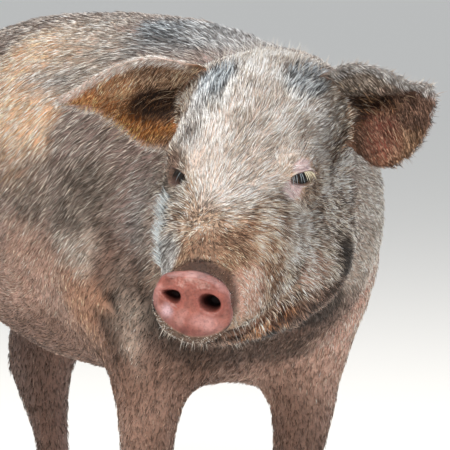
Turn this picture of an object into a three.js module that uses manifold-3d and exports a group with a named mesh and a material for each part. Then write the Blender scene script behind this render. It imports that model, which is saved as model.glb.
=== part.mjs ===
// A young pig, life size: it stands square and looks round to its right.
// Millimetres. The pig faces -Y, +Z is up and its right side is towards -X.
// Flesh is modelled as smooth fields, negative inside, and parted by thin cuts.
import * as THREE from 'three';
import Module from 'manifold-3d';
import { mergeVertices } from 'three/addons/utils/BufferGeometryUtils.js';

const wasm = await Module();
wasm.setup();

// ---------------------------------------------------------------- driving dimensions

const GAP = 0.4;                     // clearance left by every cut
const JUST_INSIDE = 1e-3;
const LEFT = 1;
const RIGHT = -1;

// Trunk sections: place along the back, half width, height of the back, height of the belly.
const TRUNK = [
  [-222, 98, 548, 312],
  [-160, 126, 573, 272],
  [-90, 136, 590, 250],
  [0, 143, 597, 243],
  [100, 148, 596, 248],
  [190, 145, 588, 268],
  [280, 137, 573, 312],
  [360, 126, 547, 352],
  [420, 108, 518, 378],
  [458, 80, 490, 398],
];
const TRUNK_POWER = 2.25;            // above 2 makes the flanks fuller than an ellipse

// Limb stations: sideways, lengthways, height, half size sideways, half size fore and aft.
const FORELEG = [
  [66, -118, 500, 52, 72],
  [92, -164, 412, 49, 74],
  [88, -180, 340, 43, 56],
  [77, -176, 278, 33, 41],
  [75, -170, 215, 26, 32],
  [75, -170, 165, 24, 28],
  [75, -170, 142, 24, 27],
  [75, -169, 105, 18.5, 21],
  [75, -171, 68, 22, 25],
  [75, -180, 46, 21, 24],
  [75, -187, 22, 24, 27],
];
const HINDLEG = [
  [60, 348, 468, 64, 108],
  [80, 366, 408, 58, 104],
  [86, 356, 346, 47, 84],
  [80, 372, 284, 38, 64],
  [71, 406, 224, 34, 55],
  [72, 408, 180, 28, 37],
  [74, 397, 152, 23, 28],
  [75, 384, 112, 18.5, 21.5],
  [75, 378, 70, 22, 25],
  [75, 368, 47, 21, 24],
  [75, 361, 22, 24, 27],
];
const HOCK_POINT = [68, 450, 212, 20, 20];   // heel of the hind leg, standing out behind
const FOOT_HEIGHT = 22;              // where the lowest leg station stands over the floor
const FORE_SPREAD = { [LEFT]: 10, [RIGHT]: 0 };  // the turned neck pushes the left shoulder out
const HIND_STEP = { [LEFT]: 18, [RIGHT]: -22 };  // each hind foot's place before or behind square

// The foot: two main claws side by side, and two dewclaws behind.
const CLAW = { wide: 12.4, long: 28, high: 60, spread: 13.1, rise: 4, ahead: 9, rake: 0.35 };
const CORONET = { height: 28, slope: 0.18 };  // the plane where skin gives way to horn
const DEWCLAW = { wide: 7, long: 8, high: 13, spread: 12.5, behind: 30, height: 50 };

// The neck and the head. The head has a frame of its own, with the muzzle along -Y.
const HEAD_PLACE = [-31, -340, 464];
const HEAD_TURN = { yaw: -42, pitch: 17.5, roll: 2 };   // degrees: to the right, nose down, tilt
const NECK = [
  [-26, -318, 448, 76, 84],
  [-6, -272, 436, 95, 103],
  [6, -222, 427, 109, 119],
  [6, -165, 424, 116, 132],
];
const NECK_TURN = -20;               // degrees between the trunk's heading and the neck's

// Head stations in the head's frame, as for the limbs, upper head and lower head.
const SKULL = [
  [0, 18, 50, 62, 62],
  [0, -38, 54, 67, 66],
  [0, -80, 43, 67, 57],
  [0, -116, 27, 60, 48],
  [0, -152, 12, 53, 44],
  [0, -190, 0, 42, 41],
  [-2, -224, -8, 33, 29],
  [-4, -239, -9, 28, 22],
];
const JOWL = [
  [0, -8, -24, 68, 62],
  [0, -62, -38, 79, 60],
  [0, -106, -44, 69, 48],
  [0, -148, -45, 52, 36],
  [0, -188, -41, 38, 24],
  [0, -218, -37, 26, 13],
];
const BROW = { at: [47, -103, 62], radii: [15, 24, 12] };
const EAR_ROOT = { at: [52, -14, 71], radii: [24, 22, 25] };

const DISC = { at: [-3, -256, -7], radii: [34.5, 8.5, 28], power: 3.4, tilt: 18, twist: 9 };
const NOSTRIL = { spread: 15, rise: 6, radii: [6.2, 15, 5] };
const MOUTH = { front: [-300, -39], corner: [-132, -26], jaw: [-104, -120] };  // lengthways, height
const MUZZLE_CUT = -230;             // the snout is parted from the head here, in the head's frame

const EYE = { at: [46.5, -119, 52.5], radius: 11.5 };
const ORBIT = { ahead: [9, -13, 2], radii: [10, 14, 9.5] };   // the hollow in front of each eye

// The ears: how thick they are, and the radii of the bend along them and of the curl across.
const EAR = {
  middle: [36, -3],
  thick: 5,
  curl: 36,                          // of the upper half; the lower half's is the ear's own
  droop: 210,
  root: [56, -19, 80],
};
// Each ear's own carriage: from root to tip, from its lower to its upper edge, and its outline
// laid flat as (along the ear, across it). The left one is spread wider below.
const EAR_CARRIAGE = {
  [RIGHT]: {
    along: [0.955, -0.26, 0.12],
    across: [-0.1, 0.1, 0.98],
    curl: 84,
    outline: [[-14, 24], [14, 44], [46, 44], [77, 27], [104, 9], [127, -4], [104, -13],
      [77, -22], [56, -42], [30, -51], [4, -42], [-16, -12]],
  },
  [LEFT]: {
    along: [0.91, -0.24, 0.4],
    across: [-0.3, 0.15, 0.93],
    curl: 96,
    outline: [[-14, 18], [12, 31], [42, 33], [70, 18], [100, 3], [136, -8], [122, -28],
      [102, -47], [76, -63], [44, -70], [12, -50], [-14, -14]],
  },
};

// The tail hangs with one loose turn: stations as place and radius.
const TAIL = [
  [0, 462, 486, 15],
  [0, 498, 478, 11],
  [4, 516, 440, 8.5],
  [16, 520, 400, 7],
  [12, 512, 366, 5.5],
  [-4, 518, 340, 4.5],
  [-10, 528, 318, 3],
];

// Where the body is parted, as lines in a side or front view.
const NECK_CUT = { top: [-200, 560], bottom: [-245, 300] };      // lengthways, height
const HEAD_CUT = { top: [10, 119], bottom: [-30, -100] };        // in the head's frame
const FORELEG_CUT = { inner: [22, 250], outer: [160, 392], from: -300, to: -80 };
const HINDLEG_CUT = { inner: [18, 318], outer: [160, 442], from: 205, to: 540 };

// Lattice steps of each polygonised piece.
const CELLS = {
  trunk: [35, 43, 35],
  neck: [30, 30, 30],
  head: [19.5, 19, 19.5],
  snout: [12, 10, 12],
  jaw: [15, 15, 13],
  leg: [20, 20, 35],
};

// ---------------------------------------------------------------- fields

const X_AXIS = new THREE.Vector3(1, 0, 0);

// Oval sections strung on a smooth curve, each wide along the across direction.
function limb(stations, { across = X_AXIS, power = 2.1, steps = 26 } = {}) {
  const path = new THREE.CatmullRomCurve3(stations.map(([x, y, z]) => new THREE.Vector3(x, y, z)));
  const sizes = new THREE.CatmullRomCurve3(
    stations.map(([, , , wide, deep]) => new THREE.Vector3(wide, deep, 0)));
  const points = Array.from({ length: steps + 1 }, (_, i) => path.getPoint(i / steps));
  const halves = Array.from({ length: steps + 1 }, (_, i) => sizes.getPoint(i / steps));
  const links = points.slice(1).map((end, i) => {
    const start = points[i];
    const along = end.clone().sub(start);
    const length = along.length();
    along.divideScalar(length);
    const side = across.clone().addScaledVector(along, -across.dot(along)).normalize();
    const normal = along.clone().cross(side);
    const [from, to] = [halves[i], halves[i + 1]];
    const least = Math.min(from.x, from.y, to.x, to.y);
    const most = Math.max(from.x, from.y, to.x, to.y);
    return { start, along, length, side, normal, from, to, least, most };
  });
  return (x, y, z) => {
    let nearest = Infinity;
    for (const { start, along, length, side, normal, from, to, least, most } of links) {
      const dx = x - start.x;
      const dy = y - start.y;
      const dz = z - start.z;
      const clear = Math.sqrt(dx * dx + dy * dy + dz * dz) - length - most;
      if (clear > 0 && clear * least > nearest * most) continue;
      const reach = dx * along.x + dy * along.y + dz * along.z;
      const share = Math.min(Math.max(reach / length, 0), 1);
      const beyond = reach - share * length;
      const wide = from.x + (to.x - from.x) * share;
      const deep = from.y + (to.y - from.y) * share;
      const thin = Math.min(wide, deep);
      const sideways = Math.abs(dx * side.x + dy * side.y + dz * side.z) / wide;
      const outward = Math.abs(dx * normal.x + dy * normal.y + dz * normal.z) / deep;
      const section = (sideways ** power + outward ** power) ** (1 / power);
      const size = Math.sqrt(section * section + (beyond / thin) ** 2);
      nearest = Math.min(nearest, (size - 1) * thin);
    }
    return nearest;
  };
}

function ellipsoid([cx, cy, cz], [rx, ry, rz], power = 2) {
  const least = Math.min(rx, ry, rz);
  return (x, y, z) => {
    const round = Math.hypot((x - cx) / rx, (z - cz) / rz);
    const flat = Math.abs(y - cy) / ry;
    return ((round ** power + flat ** power) ** (1 / power) - 1) * least;
  };
}

// Joins fields with a fillet of the given reach.
function blend(reach, ...fields) {
  return (x, y, z) => fields.reduce((total, field) => {
    const next = field(x, y, z);
    const near = Math.max(reach - Math.abs(total - next), 0) / reach;
    return Math.min(total, next) - near * near * reach / 4;
  }, 1e3);
}

// The same field in a frame placed by a matrix.
function placed(field, matrix) {
  const back = matrix.clone().invert();
  const point = new THREE.Vector3();
  return (x, y, z) => {
    point.set(x, y, z).applyMatrix4(back);
    return field(point.x, point.y, point.z);
  };
}

const mirrored = (stations, side) => stations.map(([x, ...rest]) => [x * side, ...rest]);
const stepped = (stations, step) => stations.map(([x, y, z, ...rest], i) => {
  const share = Math.min(i / 4, 1);          // the hip stays, and the foot takes the whole step
  return [x, y + step * share, z, ...rest];
});

const spread = (stations, out) => stations.map(([x, y, z, ...rest]) => {
  const share = Math.min(Math.max((z - 180) / 80, 0), 1);   // the foot stays under the leg
  return [x + out * share, y, z, ...rest];
});

// ---------------------------------------------------------------- solids

// Turns a field into a closed faceted solid: one vertex in each lattice cell that the
// surface crosses, moved onto the surface, and one quad round each crossed lattice edge.
function polygonise(field, min, max, cell) {
  const count = [0, 1, 2].map((i) => Math.ceil((max[i] - min[i]) / cell[i]) + 1);
  const index = (i, j, k) => (k * count[1] + j) * count[0] + i;
  const place = (i, j, k) => [min[0] + i * cell[0], min[1] + j * cell[1], min[2] + k * cell[2]];
  const values = new Float64Array(count[0] * count[1] * count[2]);
  for (let k = 0; k < count[2]; k += 1) {
    for (let j = 0; j < count[1]; j += 1) {
      for (let i = 0; i < count[0]; i += 1) {
        const rim = [i, j, k].some((step, axis) => step === 0 || step === count[axis] - 1);
        const value = field(...place(i, j, k));
        values[index(i, j, k)] = rim ? Math.max(value, 1) : value;
      }
    }
  }

  // Where the inside meets itself only corner to corner across a lattice face, it is filled in.
  const stride = [1, count[0], count[0] * count[1]];
  const fillFace = (base, [u, v]) => {
    const ring = [0, stride[u], stride[u] + stride[v], stride[v]].map((step) => base + step);
    const [a, b, c, d] = ring.map((at) => values[at] < 0);
    if (a !== c || b !== d || a === b) return false;
    const [first, second] = a ? [ring[1], ring[3]] : [ring[0], ring[2]];
    values[values[first] < values[second] ? first : second] = -JUST_INSIDE;
    return true;
  };
  let filled = true;
  while (filled) {
    filled = false;
    for (let base = 0; base < values.length - stride[1] - stride[2]; base += 1) {
      for (const axes of [[0, 1], [1, 2], [0, 2]]) filled = fillFace(base, axes) || filled;
    }
  }

  const settle = (point) => {
    const start = [...point];
    for (let round = 0; round < 4; round += 1) {
      const value = field(...point);
      const slope = [0, 1, 2].map((axis) => {
        const ahead = [...point];
        ahead[axis] += 0.5;
        return (field(...ahead) - value) / 0.5;
      });
      const steep = slope.reduce((sum, part) => sum + part * part, 1e-9);
      point.forEach((_, axis) => {
        const moved = point[axis] - value * slope[axis] / steep;
        const room = 0.45 * cell[axis];
        point[axis] = THREE.MathUtils.clamp(moved, start[axis] - room, start[axis] + room);
      });
    }
    return point;
  };

  const corners = [];
  const vertices = [];
  const vertexOf = new Map();
  const vertexIn = (i, j, k) => {
    const key = index(i, j, k);
    if (!vertexOf.has(key)) {
      const sum = [0, 0, 0];
      let crossings = 0;
      for (let a = 0; a < 8; a += 1) {
        for (const bit of [1, 2, 4]) {
          const b = a | bit;
          const ends = [a, b].map((c) => [i + (c & 1), j + ((c >> 1) & 1), k + ((c >> 2) & 1)]);
          const [from, to] = ends.map((end) => values[index(...end)]);
          if (a !== b && (from < 0) !== (to < 0)) {
            const share = from / (from - to);
            const [start, end] = ends.map((step) => place(...step));
            start.forEach((part, axis) => { sum[axis] += part + (end[axis] - part) * share; });
            crossings += 1;
          }
        }
      }
      vertexOf.set(key, vertices.length);
      vertices.push(settle(sum.map((part) => part / crossings)));
    }
    return vertexOf.get(key);
  };
  const edge = [[1, 0, 0], [0, 1, 0], [0, 0, 1]];
  for (let k = 0; k < count[2]; k += 1) {
    for (let j = 0; j < count[1]; j += 1) {
      for (let i = 0; i < count[0]; i += 1) {
        const inside = values[index(i, j, k)] < 0;
        edge.forEach(([di, dj, dk], axis) => {
          const [u, v] = [edge[(axis + 1) % 3], edge[(axis + 2) % 3]];
          const least = [i - u[0] - v[0], j - u[1] - v[1], k - u[2] - v[2]];
          if (Math.min(...least) < 0) return;
          if (i + di >= count[0] || j + dj >= count[1] || k + dk >= count[2]) return;
          if (inside === values[index(i + di, j + dj, k + dk)] < 0) return;
          const quad = [[0, 0], [1, 0], [1, 1], [0, 1]].map(([a, b]) => vertexIn(
            i - a * u[0] - b * v[0], j - a * u[1] - b * v[1], k - a * u[2] - b * v[2]));
          corners.push(inside ? quad : quad.reverse());
        });
      }
    }
  }

  const triangles = corners.flatMap(([a, b, c, d]) => {
    const span = (p, q) => Math.hypot(...vertices[p].map((part, axis) => part - vertices[q][axis]));
    return span(a, c) < span(b, d) ? [a, b, c, a, c, d] : [a, b, d, b, c, d];
  });
  return new wasm.Manifold(new wasm.Mesh({
    numProp: 3,
    vertProperties: new Float32Array(vertices.flat()),
    triVerts: new Uint32Array(triangles),
  }));
}

// A three.js geometry as a solid.
function solid(geometry) {
  const bare = geometry.clone();
  bare.deleteAttribute('normal');
  bare.deleteAttribute('uv');
  const merged = mergeVertices(bare, 1e-3);
  return new wasm.Manifold(new wasm.Mesh({
    numProp: 3,
    vertProperties: new Float32Array(merged.attributes.position.array),
    triVerts: new Uint32Array(merged.index.array),
  }));
}

function ball([x, y, z], [rx, ry, rz], around = 10, down = 8) {
  return solid(new THREE.SphereGeometry(1, around, down).scale(rx, ry, rz).translate(x, y, z));
}

// A prism whose outline lies in the side view (lengthways, height), reaching half each way.
function sidePrism(outline, half) {
  const shape = new THREE.Shape(outline.map(([y, z]) => new THREE.Vector2(y, z)));
  const block = new THREE.ExtrudeGeometry(shape, { depth: 2 * half, bevelEnabled: false });
  block.translate(0, 0, -half).rotateY(Math.PI / 2).rotateX(Math.PI / 2);
  return solid(block);
}

// A prism whose outline lies in the front view (sideways, height), between two places.
function frontPrism(outline, from, to) {
  const shape = new THREE.Shape(outline.map(([x, z]) => new THREE.Vector2(x, z)));
  const block = new THREE.ExtrudeGeometry(shape, { depth: to - from, bevelEnabled: false });
  block.rotateX(Math.PI / 2).translate(0, to, 0);
  return solid(block);
}

// The side of a slanted plane, through two points of the side view, that faces backwards.
function planeThrough({ top, bottom }) {
  const normal = new THREE.Vector3(0, top[1] - bottom[1], bottom[0] - top[0]).normalize();
  return new THREE.Plane(normal, -normal.dot(new THREE.Vector3(0, ...top)));
}

const behind = (body, plane) => body.trimByPlane(plane.normal.toArray(), GAP / 2 - plane.constant);
const before = (body, plane) => body.trimByPlane(
  plane.normal.clone().negate().toArray(), GAP / 2 + plane.constant);

// A tapered tube: a lathe turned with the given radii, then bent along a curve.
function taperedTube(stations, grow = 0, around = 7, steps = 15) {
  const path = new THREE.CatmullRomCurve3(stations.map(([x, y, z]) => new THREE.Vector3(x, y, z)));
  const radii = new THREE.CatmullRomCurve3(stations.map(([, , , r]) => new THREE.Vector3(r, 0, 0)));
  const frames = path.computeFrenetFrames(steps);
  const profile = Array.from({ length: steps + 1 }, (_, i) => (
    new THREE.Vector2(radii.getPoint(i / steps).x + grow, i)));
  const capped = [new THREE.Vector2(0, 0), ...profile, new THREE.Vector2(0, steps)];
  const tube = new THREE.LatheGeometry(capped, around);
  const place = tube.attributes.position;
  for (let i = 0; i < place.count; i += 1) {
    const step = Math.round(place.getY(i));
    const point = path.getPointAt(step / steps)
      .addScaledVector(frames.normals[step], place.getZ(i))
      .addScaledVector(frames.binormals[step], place.getX(i));
    place.setXYZ(i, point.x, point.y, point.z);
  }
  return solid(tube);
}

// ---------------------------------------------------------------- the ear

// A flattened ball stretched to the ear's outline, curled across and drooping along.
function earSolid(side, grow = 0) {
  const carriage = EAR_CARRIAGE[side];
  const edge = new THREE.CatmullRomCurve3(
    carriage.outline.map(([x, y]) => new THREE.Vector3(x, y, 0)), true);
  const middle = new THREE.Vector3(...EAR.middle, 0);
  const along = new THREE.Vector3(...carriage.along).normalize();
  const across = new THREE.Vector3(...carriage.across);
  across.addScaledVector(along, -across.dot(along)).normalize();
  const inward = across.clone().cross(along).negate();
  const root = new THREE.Vector3(...EAR.root);
  const leaf = new THREE.SphereGeometry(1, 18, 9).rotateX(Math.PI / 2);
  const place = leaf.attributes.position;
  for (let i = 0; i < place.count; i += 1) {
    const turn = (Math.atan2(place.getY(i), place.getX(i)) / (2 * Math.PI) + 1) % 1;
    const reach = Math.min(Math.hypot(place.getX(i), place.getY(i)), 1);
    const rim = edge.getPoint((1.45 - turn) % 1).sub(middle);
    rim.setLength(rim.length() + grow);
    const flat = rim.multiplyScalar(reach).add(middle);
    const height = place.getZ(i);
    const lift = Math.sign(height) * Math.abs(height) ** 0.6 * (EAR.thick / 2 + grow);
    const curl = flat.y > 0 ? EAR.curl : carriage.curl;
    const bend = flat.y / curl;
    const fall = flat.x / EAR.droop;
    const point = root.clone()
      .addScaledVector(along, (EAR.droop + lift) * Math.sin(fall))
      .addScaledVector(across, (curl - lift) * Math.sin(bend))
      .addScaledVector(inward, curl - (curl - lift) * Math.cos(bend))
      .addScaledVector(inward, EAR.droop * (1 - Math.cos(fall)));
    place.setXYZ(i, point.x * side, point.y, point.z);
  }
  const shell = solid(leaf);
  return shell.volume() > 0 ? shell : solid(flipped(leaf));
}

function flipped(geometry) {
  const turned = geometry.clone();
  const order = turned.index.array;
  for (let i = 0; i < order.length; i += 3) {
    [order[i], order[i + 1]] = [order[i + 1], order[i]];
  }
  return turned;
}

// ---------------------------------------------------------------- the body's fields

const headTurn = new THREE.Euler(
  THREE.MathUtils.degToRad(HEAD_TURN.pitch),
  THREE.MathUtils.degToRad(HEAD_TURN.roll),
  THREE.MathUtils.degToRad(HEAD_TURN.yaw),
  'ZXY');
const headMatrix = new THREE.Matrix4().compose(
  new THREE.Vector3(...HEAD_PLACE),
  new THREE.Quaternion().setFromEuler(headTurn),
  new THREE.Vector3(1, 1, 1));

const discTurn = new THREE.Euler(
  THREE.MathUtils.degToRad(-DISC.tilt), THREE.MathUtils.degToRad(DISC.twist), 0);
const discMatrix = new THREE.Matrix4().compose(
  new THREE.Vector3(...DISC.at),
  new THREE.Quaternion().setFromEuler(discTurn),
  new THREE.Vector3(1, 1, 1));

const bothSides = (make) => [RIGHT, LEFT].map(make);

const pair = ({ at: [x, y, z], radii }) => bothSides((side) => ellipsoid([x * side, y, z], radii));

const headField = blend(10,
  blend(30, limb(SKULL, { power: 2.2 }), limb(JOWL, { power: 2.2 }), ...pair(EAR_ROOT)),
  ...pair(BROW),
  placed(ellipsoid([0, 0, 0], DISC.radii, DISC.power), discMatrix));

const trunkField = limb(
  TRUNK.map(([y, wide, top, bottom]) => [0, y, (top + bottom) / 2, wide, (top - bottom) / 2]),
  { power: TRUNK_POWER, steps: 36 });

const neckAcross = X_AXIS.clone().applyAxisAngle(
  new THREE.Vector3(0, 0, 1), THREE.MathUtils.degToRad(NECK_TURN));

const legStations = {
  foreleg: (side) => mirrored(spread(FORELEG, FORE_SPREAD[side]), side),
  hindleg: (side) => mirrored(stepped(HINDLEG, HIND_STEP[side]), side),
};
const hockField = (side) => {
  const [x, y, z, across, along] = HOCK_POINT;
  return ellipsoid([x * side, y + HIND_STEP[side], z], [across, along, 2 * across]);
};

const bodyField = blend(26,
  blend(60, trunkField, limb(NECK, { across: neckAcross })),
  ...bothSides((side) => limb(legStations.foreleg(side))),
  ...bothSides((side) => blend(14, limb(legStations.hindleg(side)), hockField(side))),
  placed(headField, headMatrix));
const bodyInHeadFrame = placed(bodyField, headMatrix.clone().invert());

// ---------------------------------------------------------------- parting the body

const neckPlane = planeThrough(NECK_CUT);
const headPlane = planeThrough(HEAD_CUT);
const headPlaneInBody = headPlane.clone().applyMatrix4(headMatrix);
const muzzlePlane = new THREE.Plane(new THREE.Vector3(0, 1, 0), -MUZZLE_CUT);

// The wedge of space that holds one leg, below a plane slanting up and outwards.
function legRoom({ inner, outer, from, to }, side, grow) {
  const outline = [
    [inner[0] - 0.7 * grow, inner[1] + 0.7 * grow],
    [outer[0] - 0.7 * grow, outer[1] + 0.7 * grow],
    [outer[0] + 60, outer[1] + 0.7 * grow],
    [outer[0] + 60, -20],
    [inner[0] - 0.7 * grow, -20],
  ].map(([x, z]) => [x * side, z]);
  return frontPrism(outline, from - grow, to + grow);
}

const whole = {
  trunk: polygonise(bodyField, [-190, -330, 232], [190, 540, 625], CELLS.trunk),
  neck: polygonise(bodyField, [-200, -440, 250], [190, -170, 625], CELLS.neck),
  head: polygonise(bodyInHeadFrame, [-120, -300, -150], [120, 60, 160], CELLS.head),
  snout: polygonise(bodyInHeadFrame, [-60, -290, -75], [60, -205, 75], CELLS.snout),
  jaw: polygonise(bodyInHeadFrame, [-90, -270, -115], [90, -85, 10], CELLS.jaw),
};

const materials = {
  skin: { color: 0xb9968a, roughness: 0.75, metalness: 0 },
  snout: { color: 0xcf8079, roughness: 0.45, metalness: 0 },
  eye: { color: 0x2a1d16, roughness: 0.1, metalness: 0 },
  horn: { color: 0x5a4a3f, roughness: 0.55, metalness: 0 },
};

const pig = new THREE.Group();
const headGroup = new THREE.Group();
headGroup.position.set(...HEAD_PLACE);
headGroup.rotation.copy(headTurn);
pig.add(headGroup);

function add(parent, name, body, finish) {
  const { vertProperties, triVerts } = body.getMesh();
  const geometry = new THREE.BufferGeometry();
  geometry.setAttribute('position', new THREE.BufferAttribute(vertProperties, 3));
  geometry.setIndex(new THREE.BufferAttribute(triVerts, 1));
  geometry.computeVertexNormals();
  const mesh = new THREE.Mesh(geometry, new THREE.MeshStandardMaterial(materials[finish]));
  mesh.name = name;
  parent.add(mesh);
}

// ---------------------------------------------------------------- head

const mouthOutline = (grow) => [
  [MOUTH.front[0], MOUTH.front[1] + grow],
  [MOUTH.corner[0] + grow, MOUTH.corner[1] + grow],
  [MOUTH.jaw[0] + grow, MOUTH.jaw[1]],
  [MOUTH.front[0], MOUTH.jaw[1]],
];
const mouthRoom = (grow) => sidePrism(mouthOutline(grow), 140);

const sideName = (side) => (side === LEFT ? 'left' : 'right');

let head = before(behind(whole.head, muzzlePlane), headPlane).subtract(mouthRoom(GAP));
let snout = before(whole.snout, muzzlePlane).subtract(mouthRoom(GAP));
for (const side of [RIGHT, LEFT]) {
  const centre = [EYE.at[0] * side, EYE.at[1], EYE.at[2]];
  const socket = EYE.radius + GAP;
  const orbit = [centre[0] + ORBIT.ahead[0] * side, centre[1] + ORBIT.ahead[1],
    centre[2] + ORBIT.ahead[2]];
  head = head.subtract(ball(centre, [socket, socket, socket])).subtract(ball(orbit, ORBIT.radii));
  head = head.subtract(earSolid(side, GAP));
  add(headGroup, `eye_${sideName(side)}`, ball(centre, Array(3).fill(EYE.radius)), 'eye');
  add(headGroup, `ear_${sideName(side)}`, earSolid(side), 'skin');

  const nostril = new THREE.SphereGeometry(1, 12, 8).scale(...NOSTRIL.radii)
    .translate(NOSTRIL.spread * side, -DISC.radii[1], NOSTRIL.rise).applyMatrix4(discMatrix);
  snout = snout.subtract(solid(nostril));
}
add(headGroup, 'head', head, 'skin');
add(headGroup, 'snout', snout, 'snout');
add(headGroup, 'lower_jaw', before(whole.jaw.intersect(mouthRoom(0)), headPlane), 'skin');

// ---------------------------------------------------------------- neck, trunk and tail

add(pig, 'neck', behind(before(whole.neck, neckPlane), headPlaneInBody), 'skin');

let trunk = behind(whole.trunk, neckPlane).subtract(taperedTube(TAIL, GAP));
for (const side of [RIGHT, LEFT]) {
  trunk = trunk.subtract(legRoom(FORELEG_CUT, side, GAP)).subtract(legRoom(HINDLEG_CUT, side, GAP));
}
add(pig, 'trunk', trunk, 'skin');
add(pig, 'tail', taperedTube(TAIL), 'skin');

// ---------------------------------------------------------------- legs and claws

function addLeg(name, side, room) {
  const stations = legStations[name](side);
  const foot = stations.at(-1);
  const floor = foot[2] - FOOT_HEIGHT;
  const reach = stations.map(([, y]) => y);
  const low = [Math.min(0, side * 190), Math.min(...reach) - 170, floor + 2];
  const high = [Math.max(0, side * 190), Math.max(...reach) + 140, room.outer[1] + 40];
  const coronet = new THREE.Plane(new THREE.Vector3(0, CORONET.slope, 1).normalize());
  coronet.constant = -coronet.normal.dot(
    new THREE.Vector3(foot[0], foot[1], floor + CORONET.height));

  let leg = polygonise(bodyField, low, high, CELLS.leg).intersect(legRoom(room, side, 0));
  leg = behind(behind(leg, neckPlane), coronet);
  for (const inward of [-1, 1]) {
    const position = inward === 1 ? 'inner' : 'outer';
    const sideways = -inward * side;
    const claw = new THREE.SphereGeometry(1, 10, 7)
      .scale(CLAW.wide, CLAW.long, CLAW.high)
      .applyMatrix4(new THREE.Matrix4().makeShear(0, 0, 0, 0, 0, CLAW.rake))
      .translate(foot[0] + sideways * CLAW.spread, foot[1] - CLAW.ahead, floor + CLAW.rise);
    const dewclaw = (grow) => ball(
      [foot[0] + sideways * DEWCLAW.spread, foot[1] + DEWCLAW.behind, floor + DEWCLAW.height],
      [DEWCLAW.wide + grow, DEWCLAW.long + grow, DEWCLAW.high + grow], 6, 4);
    const flat = solid(claw).trimByPlane([0, 0, 1], floor);
    const label = `${name}_${sideName(side)}`;
    add(pig, `${label}_claw_${position}`, before(flat, coronet), 'horn');
    add(pig, `${label}_dewclaw_${position}`, dewclaw(0), 'horn');
    leg = leg.subtract(dewclaw(GAP));
  }
  add(pig, `${name}_${sideName(side)}`, leg, 'skin');
}

for (const side of [RIGHT, LEFT]) {
  addLeg('foreleg', side, FORELEG_CUT);
  addLeg('hindleg', side, HINDLEG_CUT);
}

// The origin is the middle of the model's box, at the floor.
pig.updateMatrixWorld(true);
const box = new THREE.Box3().setFromObject(pig, true);
const centre = box.getCenter(new THREE.Vector3());
pig.position.set(-centre.x, -centre.y, -box.min.z);

export default pig;
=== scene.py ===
"""Young pig, life size: one skin, its coat, eyes and claws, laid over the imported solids."""
import logging
import math
from dataclasses import dataclass, field
from enum import Enum
from typing import Callable, Iterable, Sequence

import bmesh
import bpy
import numpy as np
from bpy.types import Material, Mesh, Node, NodeSocket, NodeTree, Object
from mathutils import Matrix, Vector
from mathutils.bvhtree import BVHTree
from mathutils.kdtree import KDTree


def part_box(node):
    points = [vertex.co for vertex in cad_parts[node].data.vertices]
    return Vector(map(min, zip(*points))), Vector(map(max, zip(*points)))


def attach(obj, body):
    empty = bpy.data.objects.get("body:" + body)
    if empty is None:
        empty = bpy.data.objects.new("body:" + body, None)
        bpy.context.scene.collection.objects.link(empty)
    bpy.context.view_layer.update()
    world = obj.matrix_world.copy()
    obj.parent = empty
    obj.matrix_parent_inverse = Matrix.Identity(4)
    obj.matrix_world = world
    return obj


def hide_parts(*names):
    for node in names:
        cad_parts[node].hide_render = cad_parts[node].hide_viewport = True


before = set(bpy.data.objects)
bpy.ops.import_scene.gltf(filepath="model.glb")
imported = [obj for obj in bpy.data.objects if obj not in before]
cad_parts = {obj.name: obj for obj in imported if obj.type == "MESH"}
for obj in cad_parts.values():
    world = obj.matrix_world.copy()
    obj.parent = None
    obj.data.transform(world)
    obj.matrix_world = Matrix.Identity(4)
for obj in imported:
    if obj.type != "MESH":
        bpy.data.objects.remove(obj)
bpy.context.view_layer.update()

MM = 0.001
BODY = "root"
Array = np.ndarray
Rng = np.random.Generator
Spot = tuple[float, float, float]
Way = Callable[[Array, Array], Array]

logging.basicConfig(level=logging.INFO, format="%(message)s")
log = logging.getLogger("pig")


# ---- small tools


def linear(colour: str) -> Spot:
    """Turns six sRGB hex digits into linear red, green and blue."""
    parts = [int(colour[i:i + 2], 16) / 255 for i in (0, 2, 4)]
    return tuple(p / 12.92 if p <= 0.04045 else ((p + 0.055) / 1.055) ** 2.4 for p in parts)


def rgba(colour: str) -> tuple[float, float, float, float]:
    """Returns a hex colour as linear RGBA with full alpha."""
    return (*linear(colour), 1.0)


def length(vectors: Array) -> Array:
    """Returns the length of each vector."""
    return np.linalg.norm(vectors, axis=-1)


def unit(vectors: Array) -> Array:
    """Returns the vectors at length one."""
    return vectors / np.maximum(length(vectors)[..., None], 1e-12)


def ramp(value: Array, low: float, high: float) -> Array:
    """Rises smoothly from 0 at low to 1 at high (or falls, where low is above high)."""
    share = np.clip((value - low) / (high - low), 0.0, 1.0)
    return share * share * (3.0 - 2.0 * share)


def turned(x: Array, y: Array) -> Array:
    """Returns each place's angle about the origin as a share of a turn."""
    return np.arctan2(x, y) / (2 * math.pi) + 0.5


def hump(away: Array, wide: float) -> Array:
    """Falls from 1 where away is 0 to nearly nothing at twice the width."""
    return np.exp(-(away / wide) ** 2)


def tinted(tones: Array, colour: str, share: Array) -> Array:
    """Returns the linear colours, each drawn towards a hex colour by its share."""
    return tones + (np.array(linear(colour)) - tones) * share[:, None]


def middle_of(node: str) -> Array:
    """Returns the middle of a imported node's box."""
    return np.mean([list(corner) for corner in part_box(node)], axis=0)


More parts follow.
